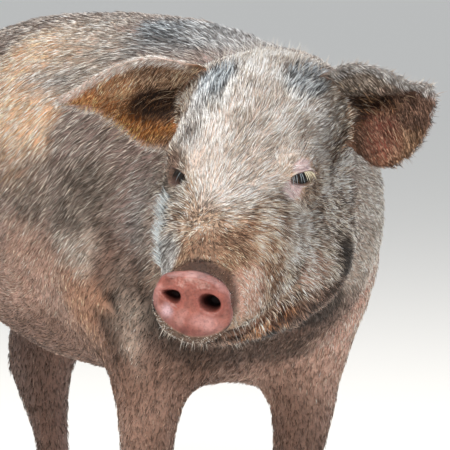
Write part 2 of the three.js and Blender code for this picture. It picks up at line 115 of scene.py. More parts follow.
class Cloud:
    """Smooth seeded noise from 0 to 1 over space."""

    SIDE = 32

    def __init__(self, seed: int, size: float) -> None:
        """Makes the noise from its seed, with lumps of a size in metres."""
        self.size = size
        self.table = np.random.default_rng(seed).random((self.SIDE,) * 3)

    def at(self, points: Array) -> Array:
        """Returns one value per point."""
        scaled = points / self.size
        low = np.floor(scaled).astype(int)
        share = scaled - low
        share = share * share * (3.0 - 2.0 * share)
        total = np.zeros(len(points))
        for corner in range(8):
            step = np.array([corner & 1, corner >> 1 & 1, corner >> 2 & 1])
            cell = (low + step) % self.SIDE
            weight = np.prod(np.where(step, share, 1.0 - share), axis=1)
            total += weight * self.table[cell[:, 0], cell[:, 1], cell[:, 2]]
        return total


def add_node(tree: NodeTree, kind: str, settings: dict | None = None,
             links: dict | None = None) -> Node:
    """Adds a node with its settings and what feeds it.

    Args:
        tree: the material's node tree.
        kind: the node's type name.
        settings: attribute names, or input names or numbers, with their values.
        links: input names or numbers with the output sockets that feed them.

    Returns:
        The new node.
    """
    node = tree.nodes.new(kind)
    for key, value in (settings or {}).items():
        if isinstance(key, str) and hasattr(node, key):
            setattr(node, key, value)
        else:
            node.inputs[key].default_value = value
    for key, output in (links or {}).items():
        tree.links.new(output, node.inputs[key])
    return node


def mesh_object(name: str, mesh: Mesh) -> Object:
    """Returns a new object at the origin that holds the mesh."""
    piece = bpy.data.objects.new(name, mesh)
    bpy.context.scene.collection.objects.link(piece)
    return piece


def from_bmesh(name: str, work: bmesh.types.BMesh) -> Object:
    """Turns a bmesh into an object, shaded smooth, and frees it."""
    mesh = bpy.data.meshes.new(name)
    work.to_mesh(mesh)
    work.free()
    mesh.shade_smooth()
    return mesh_object(name, mesh)


def read_rows(items: bpy.types.bpy_prop_collection, key: str, wide: int, kind: type) -> Array:
    """Returns one value of each item as a row."""
    flat = np.empty(len(items) * wide, dtype=kind)
    items.foreach_get(key, flat)
    return flat.reshape(-1, wide)


def coordinates(mesh: Mesh) -> Array:
    """Returns the mesh's vertices as rows."""
    return read_rows(mesh.vertices, "co", 3, np.float32).astype(float)


def set_coordinates(mesh: Mesh, points: Array) -> None:
    """Moves the mesh's vertices to the rows given."""
    mesh.vertices.foreach_set("co", points.astype(np.float32).ravel())
    mesh.update()


def vertex_normals(mesh: Mesh) -> Array:
    """Returns one outward normal per vertex."""
    return read_rows(mesh.vertex_normals, "vector", 3, np.float32).astype(float)


def write_tone(mesh: Mesh, colours: Array) -> None:
    """Keeps linear colours, one per vertex, as the mesh's tone."""
    full = np.c_[colours, np.ones(len(colours))].astype(np.float32)
    mesh.attributes.new("tone", "FLOAT_COLOR", "POINT").data.foreach_set("color", full.ravel())


def edge_ends(mesh: Mesh) -> Array:
    """Returns the two vertex numbers of each edge."""
    return read_rows(mesh.edges, "vertices", 2, np.int32)


def applied(piece: Object) -> Mesh:
    """Returns the mesh that the piece's modifiers make of it."""
    bpy.context.view_layer.update()
    live = piece.evaluated_get(bpy.context.evaluated_depsgraph_get())
    return bpy.data.meshes.new_from_object(live)


# ---- the head's own frame


class Side(Enum):
    """The pig's two sides, as a sign along its own sideways axis."""

    LEFT = 1
    RIGHT = -1

    @property
    def word(self) -> str:
        """The side as a word, as in the nodes' names."""
        return self.name.lower()


@dataclass(frozen=True)
class HeadFrame:
    """Where the head is: +Z to the crown, the muzzle along -Y, +X to its left, in mm."""

    yaw: float = -42.0
    pitch: float = 17.5
    roll: float = 2.0
    eye_behind: float = -119.0
    eye_above: float = 52.5

    @property
    def axes(self) -> Array:
        """The head's three axes as the columns of a matrix."""
        turn = Matrix.Rotation(math.radians(self.yaw), 3, "Z")
        turn = turn @ Matrix.Rotation(math.radians(self.pitch), 3, "X")
        return np.array(turn @ Matrix.Rotation(math.radians(self.roll), 3, "Y"))

    @property
    def origin(self) -> Array:
        """The head's own origin, worked out from the place of the two eyes."""
        middles = [middle_of(f"eye_{side.word}") for side in Side]
        offset = self.axes @ np.array([0.0, self.eye_behind, self.eye_above]) * MM
        return np.mean(middles, axis=0) - offset

    def into(self, points: Array) -> Array:
        """Returns points of the row as places in the head's frame, in mm."""
        return (np.asarray(points) - self.origin) @ self.axes / MM

    def out(self, points: Sequence) -> Array:
        """Returns places in the head's frame, in mm, as points of the row."""
        return self.origin + np.asarray(points, dtype=float) @ self.axes.T * MM

    def turn_out(self, directions: Sequence) -> Array:
        """Returns directions in the head's frame as directions in the row."""
        return np.asarray(directions, dtype=float) @ self.axes.T

    def turn_in(self, directions: Sequence) -> Array:
        """Returns directions in the row as directions in the head's frame."""
        return np.asarray(directions, dtype=float) @ self.axes


HEAD = HeadFrame()


# ---- markings, with painted shade and light among them


@dataclass(frozen=True)
class Shade:
    """One colour of coat: the skin under it, its pale and its dark hairs."""

    skin: str
    pale: str
    dark: str
    dark_share: float


ROAN = Shade("96807a", "bdb2aa", "62554c", 0.46)
CREAM = Shade("d2beb2", "faf7f2", "c2b6aa", 0.29)
BLUE = Shade("5c6266", "a8b2ba", "34383c", 0.50)
ASH = Shade("9a9694", "d4d6d8", "6c6866", 0.40)
TAN = Shade("d0a688", "f8dec4", "8c6850", 0.40)
FAWN = Shade("8c6a54", "c8ac90", "402c20", 0.52)
BROWN = Shade("b0957f", "fcecda", "564236", 0.45)
# The darkest brown: dark hair in places, and painted shade under the jaw, on the chest and in the elbow's
# fold.
DARK_HAIR_AND_SHADE = Shade("2c211a", "54463a", "17100b", 0.80)
PINK = Shade("c6b0b4", "f0e8ea", "b29a9a", 0.22)
PEACH = Shade("eebd98", "ffecd6", "dcb894", 0.32)
RUST = Shade("7a4626", "a87044", "482612", 0.50)
UMBER = Shade("6b4e40", "87695a", "3a281d", 0.55)
BELLY = Shade("ba9686", "d0b6a6", "907060", 0.44)
EARTH = Shade("a0622a", "dea266", "5a2e12", 0.46)
# Painted shade for the ears' hollows.
HOLLOW_SHADE = Shade("2c160a", "7a5434", "1c0d05", 0.70)
# Painted light shining through the thin tip of an ear.
LIT_THROUGH_TIP = Shade("c87a40", "e2a66e", "8c5024", 0.36)
FLAP = Shade("96735a", "d2b69e", "5a4434", 0.42)
LOBE = Shade("7e5c42", "b8967a", "4c3624", 0.48)
TAWNY = Shade("a87c62", "cca488", "7c5844", 0.46)
COPPER = Shade("c08a64", "e4be9a", "8a5c38", 0.40)
FLESH = Shade("a45c50", "b08c78", "5c382c", 0.48)
RIM = Shade("e0ccc4", "f6f1ee", "cdbcb2", 0.10)


PALE = Shade("bca89a", "e6dfd6", "8e8276", 0.40)
SLATE = Shade("7a6c62", "a89e94", "4a4138", 0.52)
BLUSH = Shade("d6a694", "f6e2d4", "a88470", 0.34)


class Place(Enum):
    """Which frame a patch is laid out in; an ear's is along, across and in front of it."""

    HEAD = "head"
    ROW = "row"
    EAR = "ear"


@dataclass(frozen=True)
class Patch:
    """A soft-edged patch of one shade: an ellipsoid, in mm."""

    shade: Shade
    place: Place
    at: Spot
    reach: Spot
    strength: float = 1.0
    edge: float = 0.45

    def cover(self, spots: Array, ragged: Array) -> Array:
        """Returns how much of the patch, its edge made uneven by noise, lies over each spot."""
        away = length((spots - np.array(self.at)) / np.array(self.reach))
        return self.strength * ramp(away + 0.22 * ragged, 1.0 + self.edge / 2, 1.0 - self.edge / 2)


def patches(place: Place, *rows: tuple) -> tuple[Patch, ...]:
    """Makes patches that lie in one frame, from rows of the other fields."""
    return tuple(Patch(shade, place, *rest) for shade, *rest in rows)


LID_ROWS = (
    (PINK, (57, -123, 62), (10, 11, 6.5), 0.85),
    (PINK, (51, -136, 47), (11, 10, 8), 0.85),
)
LID_PADS = patches(Place.HEAD, *LID_ROWS)

HEAD_PATCHES = patches(
    Place.HEAD,
    (BROWN, (0, -120, 0), (150, 190, 150), 1.0),
    (TAN, (34, -194, 12), (36, 40, 32), 0.85, 0.8),
    (CREAM, (4, -128, 78), (42, 76, 44), 1.0, 0.4),
    (CREAM, (36, -84, 88), (48, 52, 42), 0.9),
    (CREAM, (4, -10, 118), (36, 50, 34), 0.8),
    (BLUE, (-36, -58, 108), (21, 34, 30), 0.95, 0.7),
    (BLUE, (40, -42, 110), (20, 30, 28), 0.85),
    (FAWN, (6, -222, 22), (40, 26, 30), 0.9),
    (BROWN, (-36, -168, 44), (14, 34, 20), 0.7),
    (ASH, (-40, -208, 14), (18, 26, 20), 0.95),
    (BLUE, (-60, -165, 16), (16, 44, 30), 0.8),
    (BLUSH, (38, -222, -4), (20, 28, 22), 0.8),
    (BLUSH, (62, -122, -30), (16, 22, 14), 0.6),
    (CREAM, (74, -98, -2), (14, 24, 18), 0.4),
    (DARK_HAIR_AND_SHADE, (78, -73, -37), (16, 19, 28), 0.92, 1.1),
    # painted shade along the jaw's lower edge
    (UMBER, (62, -128, -54), (26, 40, 12), 0.7),
    # painted shade beneath the jaw (this row and the next)
    (UMBER, (0, -150, -90), (90, 130, 34), 0.9),
    (DARK_HAIR_AND_SHADE, (0, -180, -78), (60, 70, 22), 0.8),
    (UMBER, (4, -236, -44), (46, 27, 15), 0.9, 0.7),
    (RUST, (44, -192, -48), (34, 56, 13), 0.95, 0.7),
    # painted shade beneath the jaw
    (DARK_HAIR_AND_SHADE, (10, -170, -84), (80, 90, 23), 0.8),
    # painted shade along the jaw's lower edge
    (UMBER, (66, -118, -60), (28, 66, 13), 0.85, 0.8),
    *LID_ROWS,
    (ASH, (-44, -100, 84), (12, 32, 26), 0.65, 0.8),
    (CREAM, (58, -138, 12), (18, 30, 26), 0.35, 0.8),
    (SLATE, (-54, -134, 46), (18, 38, 26), 0.9),
    (UMBER, (-55, -124, 56), (11, 15, 13), 0.7),
    (DARK_HAIR_AND_SHADE, (2, -243, 25), (34, 15, 11), 0.75),
)

BODY_PATCHES = patches(
    Place.ROW,
    (PALE, (-60, -20, 560), (70, 110, 46), 0.8),
    (BELLY, (36, 20, 268), (190, 330, 100), 0.95),
    (UMBER, (-70, -190, 296), (80, 70, 60), 0.6),
    # painted shade on the chest under the head
    (DARK_HAIR_AND_SHADE, (20, -256, 300), (90, 50, 36), 0.75),
    (UMBER, (36, -200, 130), (160, 110, 140), 0.75),
    (UMBER, (36, 380, 170), (170, 140, 180), 0.75),
    (BLUE, (10, -135, 590), (60, 66, 34), 0.9),
    (ASH, (60, -170, 575), (60, 70, 40), 0.7),
    (PEACH, (-74, 40, 556), (54, 62, 30), 0.85),
    (PEACH, (-104, 10, 500), (50, 92, 40), 1.0, 0.35),
    (PEACH, (152, 60, 512), (50, 66, 34), 0.6, 0.8),
    (PEACH, (160, 150, 478), (50, 84, 42), 0.6, 0.8),
    (PEACH, (150, 240, 500), (50, 46, 24), 0.5, 0.8),
    (ASH, (90, 300, 540), (90, 90, 60), 0.7),
    (BLUE, (-80, 330, 500), (60, 70, 70), 0.5),
    (PEACH, (-90, 360, 450), (50, 60, 34), 0.5, 0.9),
    (PEACH, (-80, 425, 385), (50, 36, 52), 0.5, 0.9),
    (SLATE, (-104, -31, 434), (40, 30, 30), 0.8),
    (SLATE, (-104, -150, 443), (40, 64, 36), 0.85),
    (SLATE, (-103, -102, 394), (40, 18, 28), 0.7),
    (BELLY, (-102, -30, 368), (40, 66, 42), 0.85),
    (TAWNY, (-100, -146, 342), (40, 62, 34), 0.85, 0.7),
    (PALE, (-104, -158, 386), (40, 32, 20), 0.75),
    (BLUSH, (-103, -70, 442), (30, 12, 36), 0.5),
    # painted shade in the fold at the elbow
    (UMBER, (-96, -200, 376), (24, 17, 34), 0.8),
    # painted shadow of the head on the chest (this row and the next)
    (SLATE, (-74, -242, 352), (28, 24, 60), 1.0),
    (DARK_HAIR_AND_SHADE, (-70, -240, 338), (32, 30, 60), 0.7, 0.8),
    # painted shade in the fold at the elbow (this row and the next)
    (DARK_HAIR_AND_SHADE, (-95, -198, 356), (24, 11, 34), 0.9),
    (DARK_HAIR_AND_SHADE, (-88, -181, 314), (24, 12, 32), 0.85),
    (PALE, (-90, -215, 346), (24, 8, 40), 0.7, 0.8),
    (PALE, (-84, -203, 300), (24, 8, 44), 0.7, 0.8),
    # painted shade under the belly
    (UMBER, (-40, -30, 284), (110, 200, 30), 0.7),
    (UMBER, (-84, -234, 384), (24, 20, 32), 0.4),
    (ASH, (-84, -20, 532), (34, 56, 14), 0.7),
    (ASH, (-82, -258, 430), (18, 30, 54), 0.6),
    (PALE, (100, -330, 430), (70, 70, 110), 1.0),
    (BLUSH, (140, -250, 345), (50, 56, 56), 0.8, 1.0),
    (UMBER, (80, -296, 332), (60, 46, 34), 0.75, 1.1),
    # painted shade on the throat under the jaw
    (DARK_HAIR_AND_SHADE, (44, -330, 345), (46, 40, 26), 0.8),
)

EAR_PATCHES = {
    Side.RIGHT: patches(
        Place.EAR,
        (EARTH, (50, 0, 0), (150, 90, 90)),
        (FLAP, (44, 30, 0), (66, 24, 60), 0.85),
        (COPPER, (86, 8, 0), (32, 22, 60), 0.85),
        # painted shade in the ear's hollow
        (HOLLOW_SHADE, (30, -7, 0), (31, 17, 60), 1.0, 0.7),
        # painted light shining through the ear's tip
        (LIT_THROUGH_TIP, (106, -6, 0), (36, 14, 60), 0.9),
        (LOBE, (16, -44, 0), (34, 14, 60), 0.7),
    ),
    Side.LEFT: patches(
        Place.EAR,
        (UMBER, (50, 0, 0), (150, 90, 90)),
        (SLATE, (56, 24, 0), (100, 28, 60), 0.9),
        # painted shade in the ear's hollow
        (HOLLOW_SHADE, (38, -12, 0), (30, 15, 60)),
        (LOBE, (76, -52, 0), (44, 18, 60), 0.9),
        (FLESH, (46, -38, 0), (20, 19, 60), 0.85, 1.3),
    ),
}


@dataclass
class Markings:
    """The colours of the whole pig, shared by skin and coat, with painted shade and light among the patches.
    """

    seed: int = 11
    ragged_size: float = 22 * MM
    fine_size: float = 7 * MM

    def colours(self, points: Array, ears: dict[Side, Array],
                inner: Array, rim: Array) -> dict[str, Array]:
        """Works out the colours at points of the skin.

        Args:
            points: places in the row's frame.
            ears: for each side, how much each point belongs to that ear.
            inner: how much each point lies in an ear's hollow face.
            rim: how much each point lies on an ear's edge.

        Returns:
            Linear colours under "skin", "pale" and "dark", and shares under "share".
        """
        ragged = Cloud(self.seed, self.ragged_size).at(points)
        ragged += Cloud(self.seed + 1, self.fine_size).at(points) - 1.0
        spots = {Place.HEAD: HEAD.into(points), Place.ROW: points / MM}
        across, along, up = spots[Place.HEAD].T
        near_head = ramp(along, 24.0, -6.0) * ramp(np.abs(across), 130.0, 100.0) * ramp(up, -125.0, -98.0)
        tones = {key: np.tile(linear(getattr(ROAN, key)), (len(points), 1))
                 for key in ("skin", "pale", "dark")}
        tones["share"] = np.full(len(points), ROAN.dark_share)

        def lay(shade: Shade, cover: Array) -> None:
            """Lays a shade over the tones, where cover says."""
            for key in ("skin", "pale", "dark"):
                tones[key] += (np.array(linear(getattr(shade, key))) - tones[key]) * cover[:, None]
            tones["share"] += (shade.dark_share - tones["share"]) * cover

        for patch in BODY_PATCHES:
            lay(patch.shade, patch.cover(spots[patch.place], ragged) * (1.0 - near_head))
        for patch in HEAD_PATCHES:
            lay(patch.shade, patch.cover(spots[patch.place], ragged) * near_head)
        for side, share in ears.items():
            on_ear = EARS[side].into(spots[Place.HEAD])
            lay(ROAN if side is Side.RIGHT else UMBER, share)
            for patch in EAR_PATCHES[side]:
                lay(patch.shade, patch.cover(on_ear, ragged) * share * inner)
            lay(RIM if side is Side.RIGHT else ASH, share * rim * 0.85)
        return tones


# ---- the skin


@dataclass(frozen=True)
class EarFrame:
    """How one ear is carried and folded, in the head's frame, in mm.

    The ledge is the lower edge of the upper fold, as points along and across the ear.
    """

    side: Side
    root: Spot = (56, -19, 80)
    carriage: tuple[Spot, Spot] = (
        (0.955, -0.26, 0.12), (-0.1, 0.1, 0.98))
    ledge: tuple[tuple[float, float], ...] = (
        (0, 2), (20, 9), (40, 7), (60, 0), (85, -4), (127, -5))
    ledge_high: float = 5.0
    hollow: tuple[float, float, float, float, float] = (30, -12, 26, 15, 8)
    rim_from: tuple[float, float] = (6.0, 16.0)
    grown: tuple[float, float] = (8.0, 4.0)

    @property
    def axes(self) -> Array:
        """Rows: along the ear to its tip, across it to its upper edge, and out of its hollow face."""
        along, across = unit(np.array(self.carriage))
        across = unit(across - along * (across @ along))
        rows = np.array([along, across, -np.cross(across, along)])
        rows[:, 0] *= self.side.value
        return rows

    def into(self, spots: Array) -> Array:
        """Returns places in the head's frame as places along, across and in front of the ear."""
        root = np.array(self.root) * np.array([self.side.value, 1, 1])
        return (spots - root) @ self.axes.T

    def rim(self, along: Array, across: Array, mine: Array) -> Array:
        """Says how near the skin is to the ear's pale edge, above and, towards the tip, below.

        Args:
            along: places along the ear.
            across: places across it.
            mine: which of them are on this ear.

        Returns:
            A share from 0 to 1 for each place.
        """
        marks = np.arange(0.0, 135.0, 5.0)
        edges = []
        for mark in marks:
            band = across[mine & (np.abs(along - mark) < 4.0)]
            edges.append((band.max(), band.min()) if len(band) else (np.nan, np.nan))
        high, low = np.array(edges).T
        known = ~np.isnan(high)
        upper = np.interp(along, marks[known], high[known]) - across
        upper /= 1.0 + 0.45 * ramp(along, 40.0, 80.0)
        lower = across - np.interp(along, marks[known], low[known])
        return np.maximum(ramp(upper, 8.5, 4.5) * ramp(along, self.rim_from[0], self.rim_from[0] + 18),
                          ramp(lower, 6.5, 3.0) * ramp(along, self.rim_from[1], self.rim_from[1] + 14)) * mine

    def fold(self, along: Array, across: Array) -> Array:
        """Says how far the ear's leaf stands forward of its plain curl.

        Args:
            along: places along the ear.
            across: places across it.

        Returns:
            The distance in mm, forwards where positive.
        """
        edge = np.interp(along, *zip(*self.ledge))
        above = across - edge
        lip = self.ledge_high * ramp(above, -3.5, 2.5) * (1.0 - 0.75 * ramp(above, 2.5, 30.0))
        lip *= ramp(along, -8.0, 14.0) * ramp(along, 132.0, 100.0)
        at, beside, long, wide, deep = self.hollow
        away = np.hypot((along - at) / long, (across - beside) / wide)
        return lip - deep * ramp(away, 1.15, 0.2)


EARS = {
    Side.RIGHT: EarFrame(Side.RIGHT),
    Side.LEFT: EarFrame(
        Side.LEFT, carriage=((0.91, -0.24, 0.40), (-0.3, 0.15, 0.93)),
        ledge=((0, 4), (20, 4), (45, -1), (75, -5), (105, -4), (136, 2)), ledge_high=7.0,
        hollow=(38, -14, 26, 13, 7), rim_from=(6.0, 100.0), grown=(0.0, 0.0)),
}


@dataclass(frozen=True)
class EyePlace:
    """Where one eye looks and how its lids open, in the head's frame, in mm and degrees."""

    side: Side
    gaze: Spot = (0.76, -0.64, 0.09)
    slit: Spot = (0.64, 0.76, -0.03)
    ball: float = 11.5
    lid: float = 13.0
    half_wide: float = 54.0
    above: float = 24.0
    below: float = 19.0
    shift: Spot = (2.0, 0.5, 0.0)

    @property
    def socket(self) -> Array:
        """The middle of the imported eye's box."""
        return HEAD.into(middle_of(f"eye_{self.side.word}"))

    @property
    def centre(self) -> Array:
        """The middle of the eyeball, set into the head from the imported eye."""
        return self.socket + np.array(self.shift)

    @property
    def axes(self) -> Array:
        """Rows: out along the gaze, along the slit to its outer corner, and up across it."""
        mirror = np.array([self.side.value, 1, 1])
        out = unit(np.array(self.gaze) * mirror)
        slit = np.array(self.slit) * mirror
        slit = unit(slit - out * (slit @ out))
        up = np.cross(out, slit)
        return np.array([out, slit, up * np.sign(up[2])])

    def angles(self, spots: Array) -> tuple[Array, Array, Array]:
        """Returns the distance, the angle along the slit and the angle above it of each spot."""
        local = (spots - self.centre) @ self.axes.T
        reach = length(local)
        along = np.degrees(np.arctan2(local[:, 1], local[:, 0]))
        above = np.degrees(np.arcsin(np.clip(local[:, 2] / np.maximum(reach, 1e-6), -1, 1)))
        return reach, along, above

    def margin(self, along: Array, above: Array) -> Array:
        """Degrees inside the opening between the lids (negative outside it)."""
        arch = np.sqrt(np.clip(1.0 - (along / self.half_wide) ** 2, 0.0, 1.0))
        return np.minimum(self.above * arch - above, above + self.below * arch) - 6.0 * (arch <= 0)


EYES = {
    Side.LEFT: EyePlace(Side.LEFT),
    Side.RIGHT: EyePlace(Side.RIGHT, shift=(9.6, -5.3, -2.6)),
}


@dataclass(frozen=True)
class NoseDisc:
    """The flat end of the snout and its nostrils, in the head's frame, in mm and degrees."""

    at: Spot = (-3, -256, -7)
    half_wide: float = 34.5
    half_deep: float = 8.5
    half_high: float = 28.0
    tilt: float = 18.0
    twist: float = 9.0
    bare_above: float = 4.0
    bare_high: float = 24.8
    nostrils: tuple[tuple[float, ...], ...] = (
        (14.5, 8.6, 8.6, 6.4, 19.0, -0.10, 0.0), (-17.0, 7.6, 7.8, 4.4, 13.0, -0.10, 0.5))

    @property
    def axes(self) -> Array:
        """Rows: the disc's own sideways, lengthways and upward axes."""
        turn = Matrix.Rotation(math.radians(-self.tilt), 3, "X")
        return np.array(turn @ Matrix.Rotation(math.radians(self.twist), 3, "Y")).T

    def into(self, spots: Array) -> Array:
        """Returns places in the head's frame as places on the disc."""
        return (spots - np.array(self.at)) @ self.axes.T

    def from_nostrils(self, disc: Array) -> Array:
        """Returns how far places on the disc lie from each nostril, 1 at its edge."""
        found = []
        for x, z, wide, high, _, slope, taper in self.nostrils:
            across = disc[:, 0] - x
            tall = high * (1.0 + taper * np.clip(across / wide, -1.0, 1.0))
            found.append(np.hypot(across / wide, (disc[:, 2] - z - slope * across) / tall))
        return np.array(found)

    def round(self, disc: Array) -> Array:
        """Returns how far places lie from the middle of the bare skin, 1 at its edge."""
        middle = self.bare_above - 0.16 * np.minimum(disc[:, 0], 0.0)
        return np.hypot(disc[:, 0] / self.half_wide, (disc[:, 2] - middle) / self.bare_high)

    def rim(self, disc: Array) -> Array:
        """Returns how far places lie from the middle of the disc, 1 at its rim."""
        return np.hypot(disc[:, 0] / self.half_wide, disc[:, 2] / self.half_high)

    def front(self, disc: Array) -> Array:
        """Returns how far along the disc's length its front lies: a flat dome with two pits."""
        front = -(self.half_deep - 0.7) * np.sqrt(np.clip(1.0 - self.rim(disc) ** 3.4, 0.0, 1.0))
        for away, nostril in zip(self.from_nostrils(disc), self.nostrils):
            front += nostril[4] * ramp(away, 1.15, 0.4) - hump(away - 1.6, 0.32)
        front += 2.2 * hump(disc[:, 0] + 2.0, 3.0) * ramp(disc[:, 2], -12.0, -24.0)
        return front + 0.8 * hump(disc[:, 0], 5.0) * ramp(np.abs(disc[:, 2]), 20.0, 6.0)


DISC = NoseDisc()


@dataclass(frozen=True)
class Crease:
    """A furrow along a line over the skin, in mm; a negative depth raises a fold."""

    place: Place
    line: tuple[Spot, ...]
    depth: float
    half_wide: float

    def depth_at(self, spots: Array) -> Array:
        """Returns how far each spot sinks, in mm, fading towards the line's two ends."""
        line = np.array(self.line, dtype=float)
        best = np.full(len(spots), np.inf)
        share = np.zeros(len(spots))
        for i, (start, end) in enumerate(zip(line[:-1], line[1:])):
            along = end - start
            t = np.clip((spots - start) @ along / (along @ along), 0, 1)
            away = length(spots - start - t[:, None] * along)
            nearer = away < best
            best = np.where(nearer, away, best)
            share = np.where(nearer, (i + t) / (len(line) - 1), share)
        fade = ramp(share, 0.0, 0.18) * ramp(share, 1.0, 0.82)
        return self.depth * hump(best, self.half_wide) * fade


CREASES = tuple(Crease(*row) for row in (
    (Place.HEAD, ((-54, -228, 0), (-56, -190, 12), (-60, -150, 16), (-68, -110, 24), (-78, -75, 30),
                  (-84, -40, 34)), -9.0, 22.0),
    (Place.ROW, ((-84, -232, 500), (-82, -258, 450), (-80, -256, 400), (-70, -238, 345)), 5.0, 6.0),
    (Place.ROW, ((-88, -216, 490), (-92, -236, 445), (-90, -236, 395), (-80, -222, 340)), -3.0, 7.0),
    (Place.ROW, ((-100, -188, 440), (-100, -206, 400), (-95, -203, 360), (-88, -182, 305)), 8.0, 7.0),
    (Place.ROW, ((-100, -60, 380), (-96, -78, 330), (-84, -90, 290)), 3.0, 9.0),
    (Place.ROW, ((160, -60, 380), (160, -78, 330), (150, -90, 290)), 3.0, 9.0),
    (Place.ROW, ((60, -260, 560), (100, -262, 520), (112, -270, 460), (100, -280, 400)), 3.0, 7.0),
    (Place.ROW, ((-96, 262, 420), (-90, 250, 360), (-66, 246, 310)), 3.5, 9.0),
    (Place.ROW, ((170, 262, 420), (162, 250, 360), (138, 246, 310)), 3.5, 9.0),
    (Place.HEAD, ((-34, -226, 10), (-12, -224, 27), (12, -224, 26), (32, -224, 6)), 1.3, 2.4),
    (Place.HEAD, ((-36, -214, 14), (-12, -211, 32), (14, -212, 31), (34, -213, 12)), 0.9, 2.4),
    (Place.HEAD, ((-30, -200, 26), (-8, -197, 40), (16, -199, 38), (34, -202, 22)), 0.7, 2.6),
    (Place.HEAD, ((60, -156, -6), (68, -120, -8), (76, -86, -2)), 1.4, 7.0),
    (Place.HEAD, ((-60, -156, -6), (-68, -120, -8), (-76, -86, -2)), 1.4, 7.0),
    (Place.HEAD, ((-16, -118, 84), (-19, -96, 96), (-18, -70, 106)), 0.9, 4.0),
    (Place.HEAD, ((17, -116, 84), (20, -94, 96), (19, -68, 107)), 0.9, 4.0),
))


@dataclass
class Hide:
    """The one skin over head, neck, trunk, ears, tail and legs, inside the solids."""

    grain: float = 2.1 * MM
    overlap: float = 0.5 * MM
    kept: float = 0.185
    face_from: float = -0.285
    rounds: int = 13
    depths: dict[str, float] = field(default_factory=lambda: {
        "trunk": 4.4, "neck": 4.2, "head": 3.0, "lower_jaw": 2.6, "snout": 0.7, "ear": 0.5,
        "tail": 1.2, "foreleg": 2.4, "hindleg": 2.4})
    seed: int = 5

    def flesh_nodes(self) -> list[str]:
        """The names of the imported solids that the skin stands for."""
        return [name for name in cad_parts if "claw" not in name and "eye" not in name]

    def gathered(self) -> Object:
        """Joins the solids of flesh, each grown a little so that they fuse, with a ball for the lids."""
        work = bmesh.new()
        for name in self.flesh_nodes():
            part = bmesh.new()
            part.from_mesh(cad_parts[name].data)
            bmesh.ops.remove_doubles(part, verts=part.verts, dist=0.001 * MM)
            part.normal_update()
            grown = [vertex.co + vertex.normal * self.overlap for vertex in part.verts]
            for vertex, place in zip(part.verts, grown):
                vertex.co = place
            mesh = bpy.data.meshes.new(name + "_grown")
            part.to_mesh(mesh)
            part.free()
            work.from_mesh(mesh)
            bpy.data.meshes.remove(mesh)
        for eye in EYES.values():
            for centre, radius in ((eye.centre, eye.lid + 0.6), (eye.socket, eye.ball + 0.8)):
                bmesh.ops.create_icosphere(work, subdivisions=4, radius=radius * MM,
                                           matrix=Matrix.Translation(Vector(HEAD.out(centre))))
        return from_bmesh("flesh", work)

    def fused(self) -> Mesh:
        """Remeshes the joined solids as one closed surface, fine on the head, coarser behind."""
        piece = self.gathered()
        remesh = piece.modifiers.new("fuse", "REMESH")
        remesh.mode = "VOXEL"
        remesh.voxel_size = self.grain
        mesh = applied(piece)
        bpy.data.objects.remove(piece)
        self.smooth(mesh, np.full(len(mesh.vertices), 0.5), 4)
        points = coordinates(mesh)
        piece = mesh_object("fused", mesh)
        body = piece.vertex_groups.new(name="body")
        body.add(np.flatnonzero(points[:, 1] > self.face_from).tolist(), 1.0, "REPLACE")
        thin = piece.modifiers.new("thin", "DECIMATE")
        thin.ratio = self.kept
        thin.vertex_group = body.name
        mesh = applied(piece)
        bpy.data.objects.remove(piece)
        return mesh

    @staticmethod
    def relaxed(values: Array, edges: Array, pull: Array, rounds: int) -> Array:
        """Pulls each vertex's values towards the mean of its neighbours.

        Args:
            values: one row, or one number, per vertex.
            edges: the mesh's edges as pairs of vertex numbers.
            pull: how far each vertex moves in a round, from 0 to 1.
            rounds: how many times.

        Returns:
            The smoothed values.
        """
        rows = values.reshape(len(values), -1).copy()
        count = np.bincount(edges.ravel(), minlength=len(rows))
        first, second = edges[:, 0], edges[:, 1]
        for _ in range(rounds):
            for column in range(rows.shape[1]):
                line = rows[:, column]
                total = np.bincount(first, line[second], len(rows))
                total += np.bincount(second, line[first], len(rows))
                rows[:, column] = line + pull * (total / np.maximum(count, 1) - line)
        return rows.reshape(values.shape)

    @classmethod
    def smooth(cls, mesh: Mesh, pull: Array, rounds: int) -> None:
        """Smooths the surface by relaxed, then gives back what its thin parts lost by it."""
        before, edges = coordinates(mesh), edge_ends(mesh)
        after = cls.relaxed(before, edges, pull, rounds)
        set_coordinates(mesh, after)
        normals = vertex_normals(mesh)
        lost = np.sum((before - after) * normals, axis=1)
        lost = cls.relaxed(lost, edges, np.full(len(lost), 0.5), 2 * rounds)
        set_coordinates(mesh, after + normals * lost[:, None])

    def refine(self, mesh: Mesh, spots: Iterable[tuple[Array, float]]) -> None:
        """Divides the faces near each spot once.

        Args:
            mesh: the skin so far.
            spots: centres in the row's frame with their reach in metres.
        """
        work = bmesh.new()
        work.from_mesh(mesh)
        points = coordinates(mesh)
        near = np.zeros(len(points), dtype=bool)
        for centre, reach in spots:
            near |= length(points - centre) < reach
        work.verts.ensure_lookup_table()
        edges = {edge for i in np.flatnonzero(near) for edge in work.verts[i].link_edges
                 if near[edge.other_vert(work.verts[i]).index]}
        bmesh.ops.subdivide_edges(work, edges=sorted(edges, key=lambda e: e.index), cuts=1,
                                  use_grid_fill=True, smooth=0.0)
        bmesh.ops.triangulate(work, faces=[face for face in work.faces if len(face.verts) > 4])
        work.to_mesh(mesh)
        work.free()

    @staticmethod
    def above_mouth(spots: Array) -> Array:
        """Returns how far, in mm, places in the head's frame lie above the line of the mouth."""
        return spots[:, 2] - (-39.0 + (spots[:, 1] + 300.0) * 13.0 / 168.0)

    def face(self) -> Array:
        """Returns how much each vertex belongs to head, snout or lower jaw."""
        return np.clip(self.parts["head"] + self.parts["snout"] + self.parts["lower_jaw"], 0, 1)

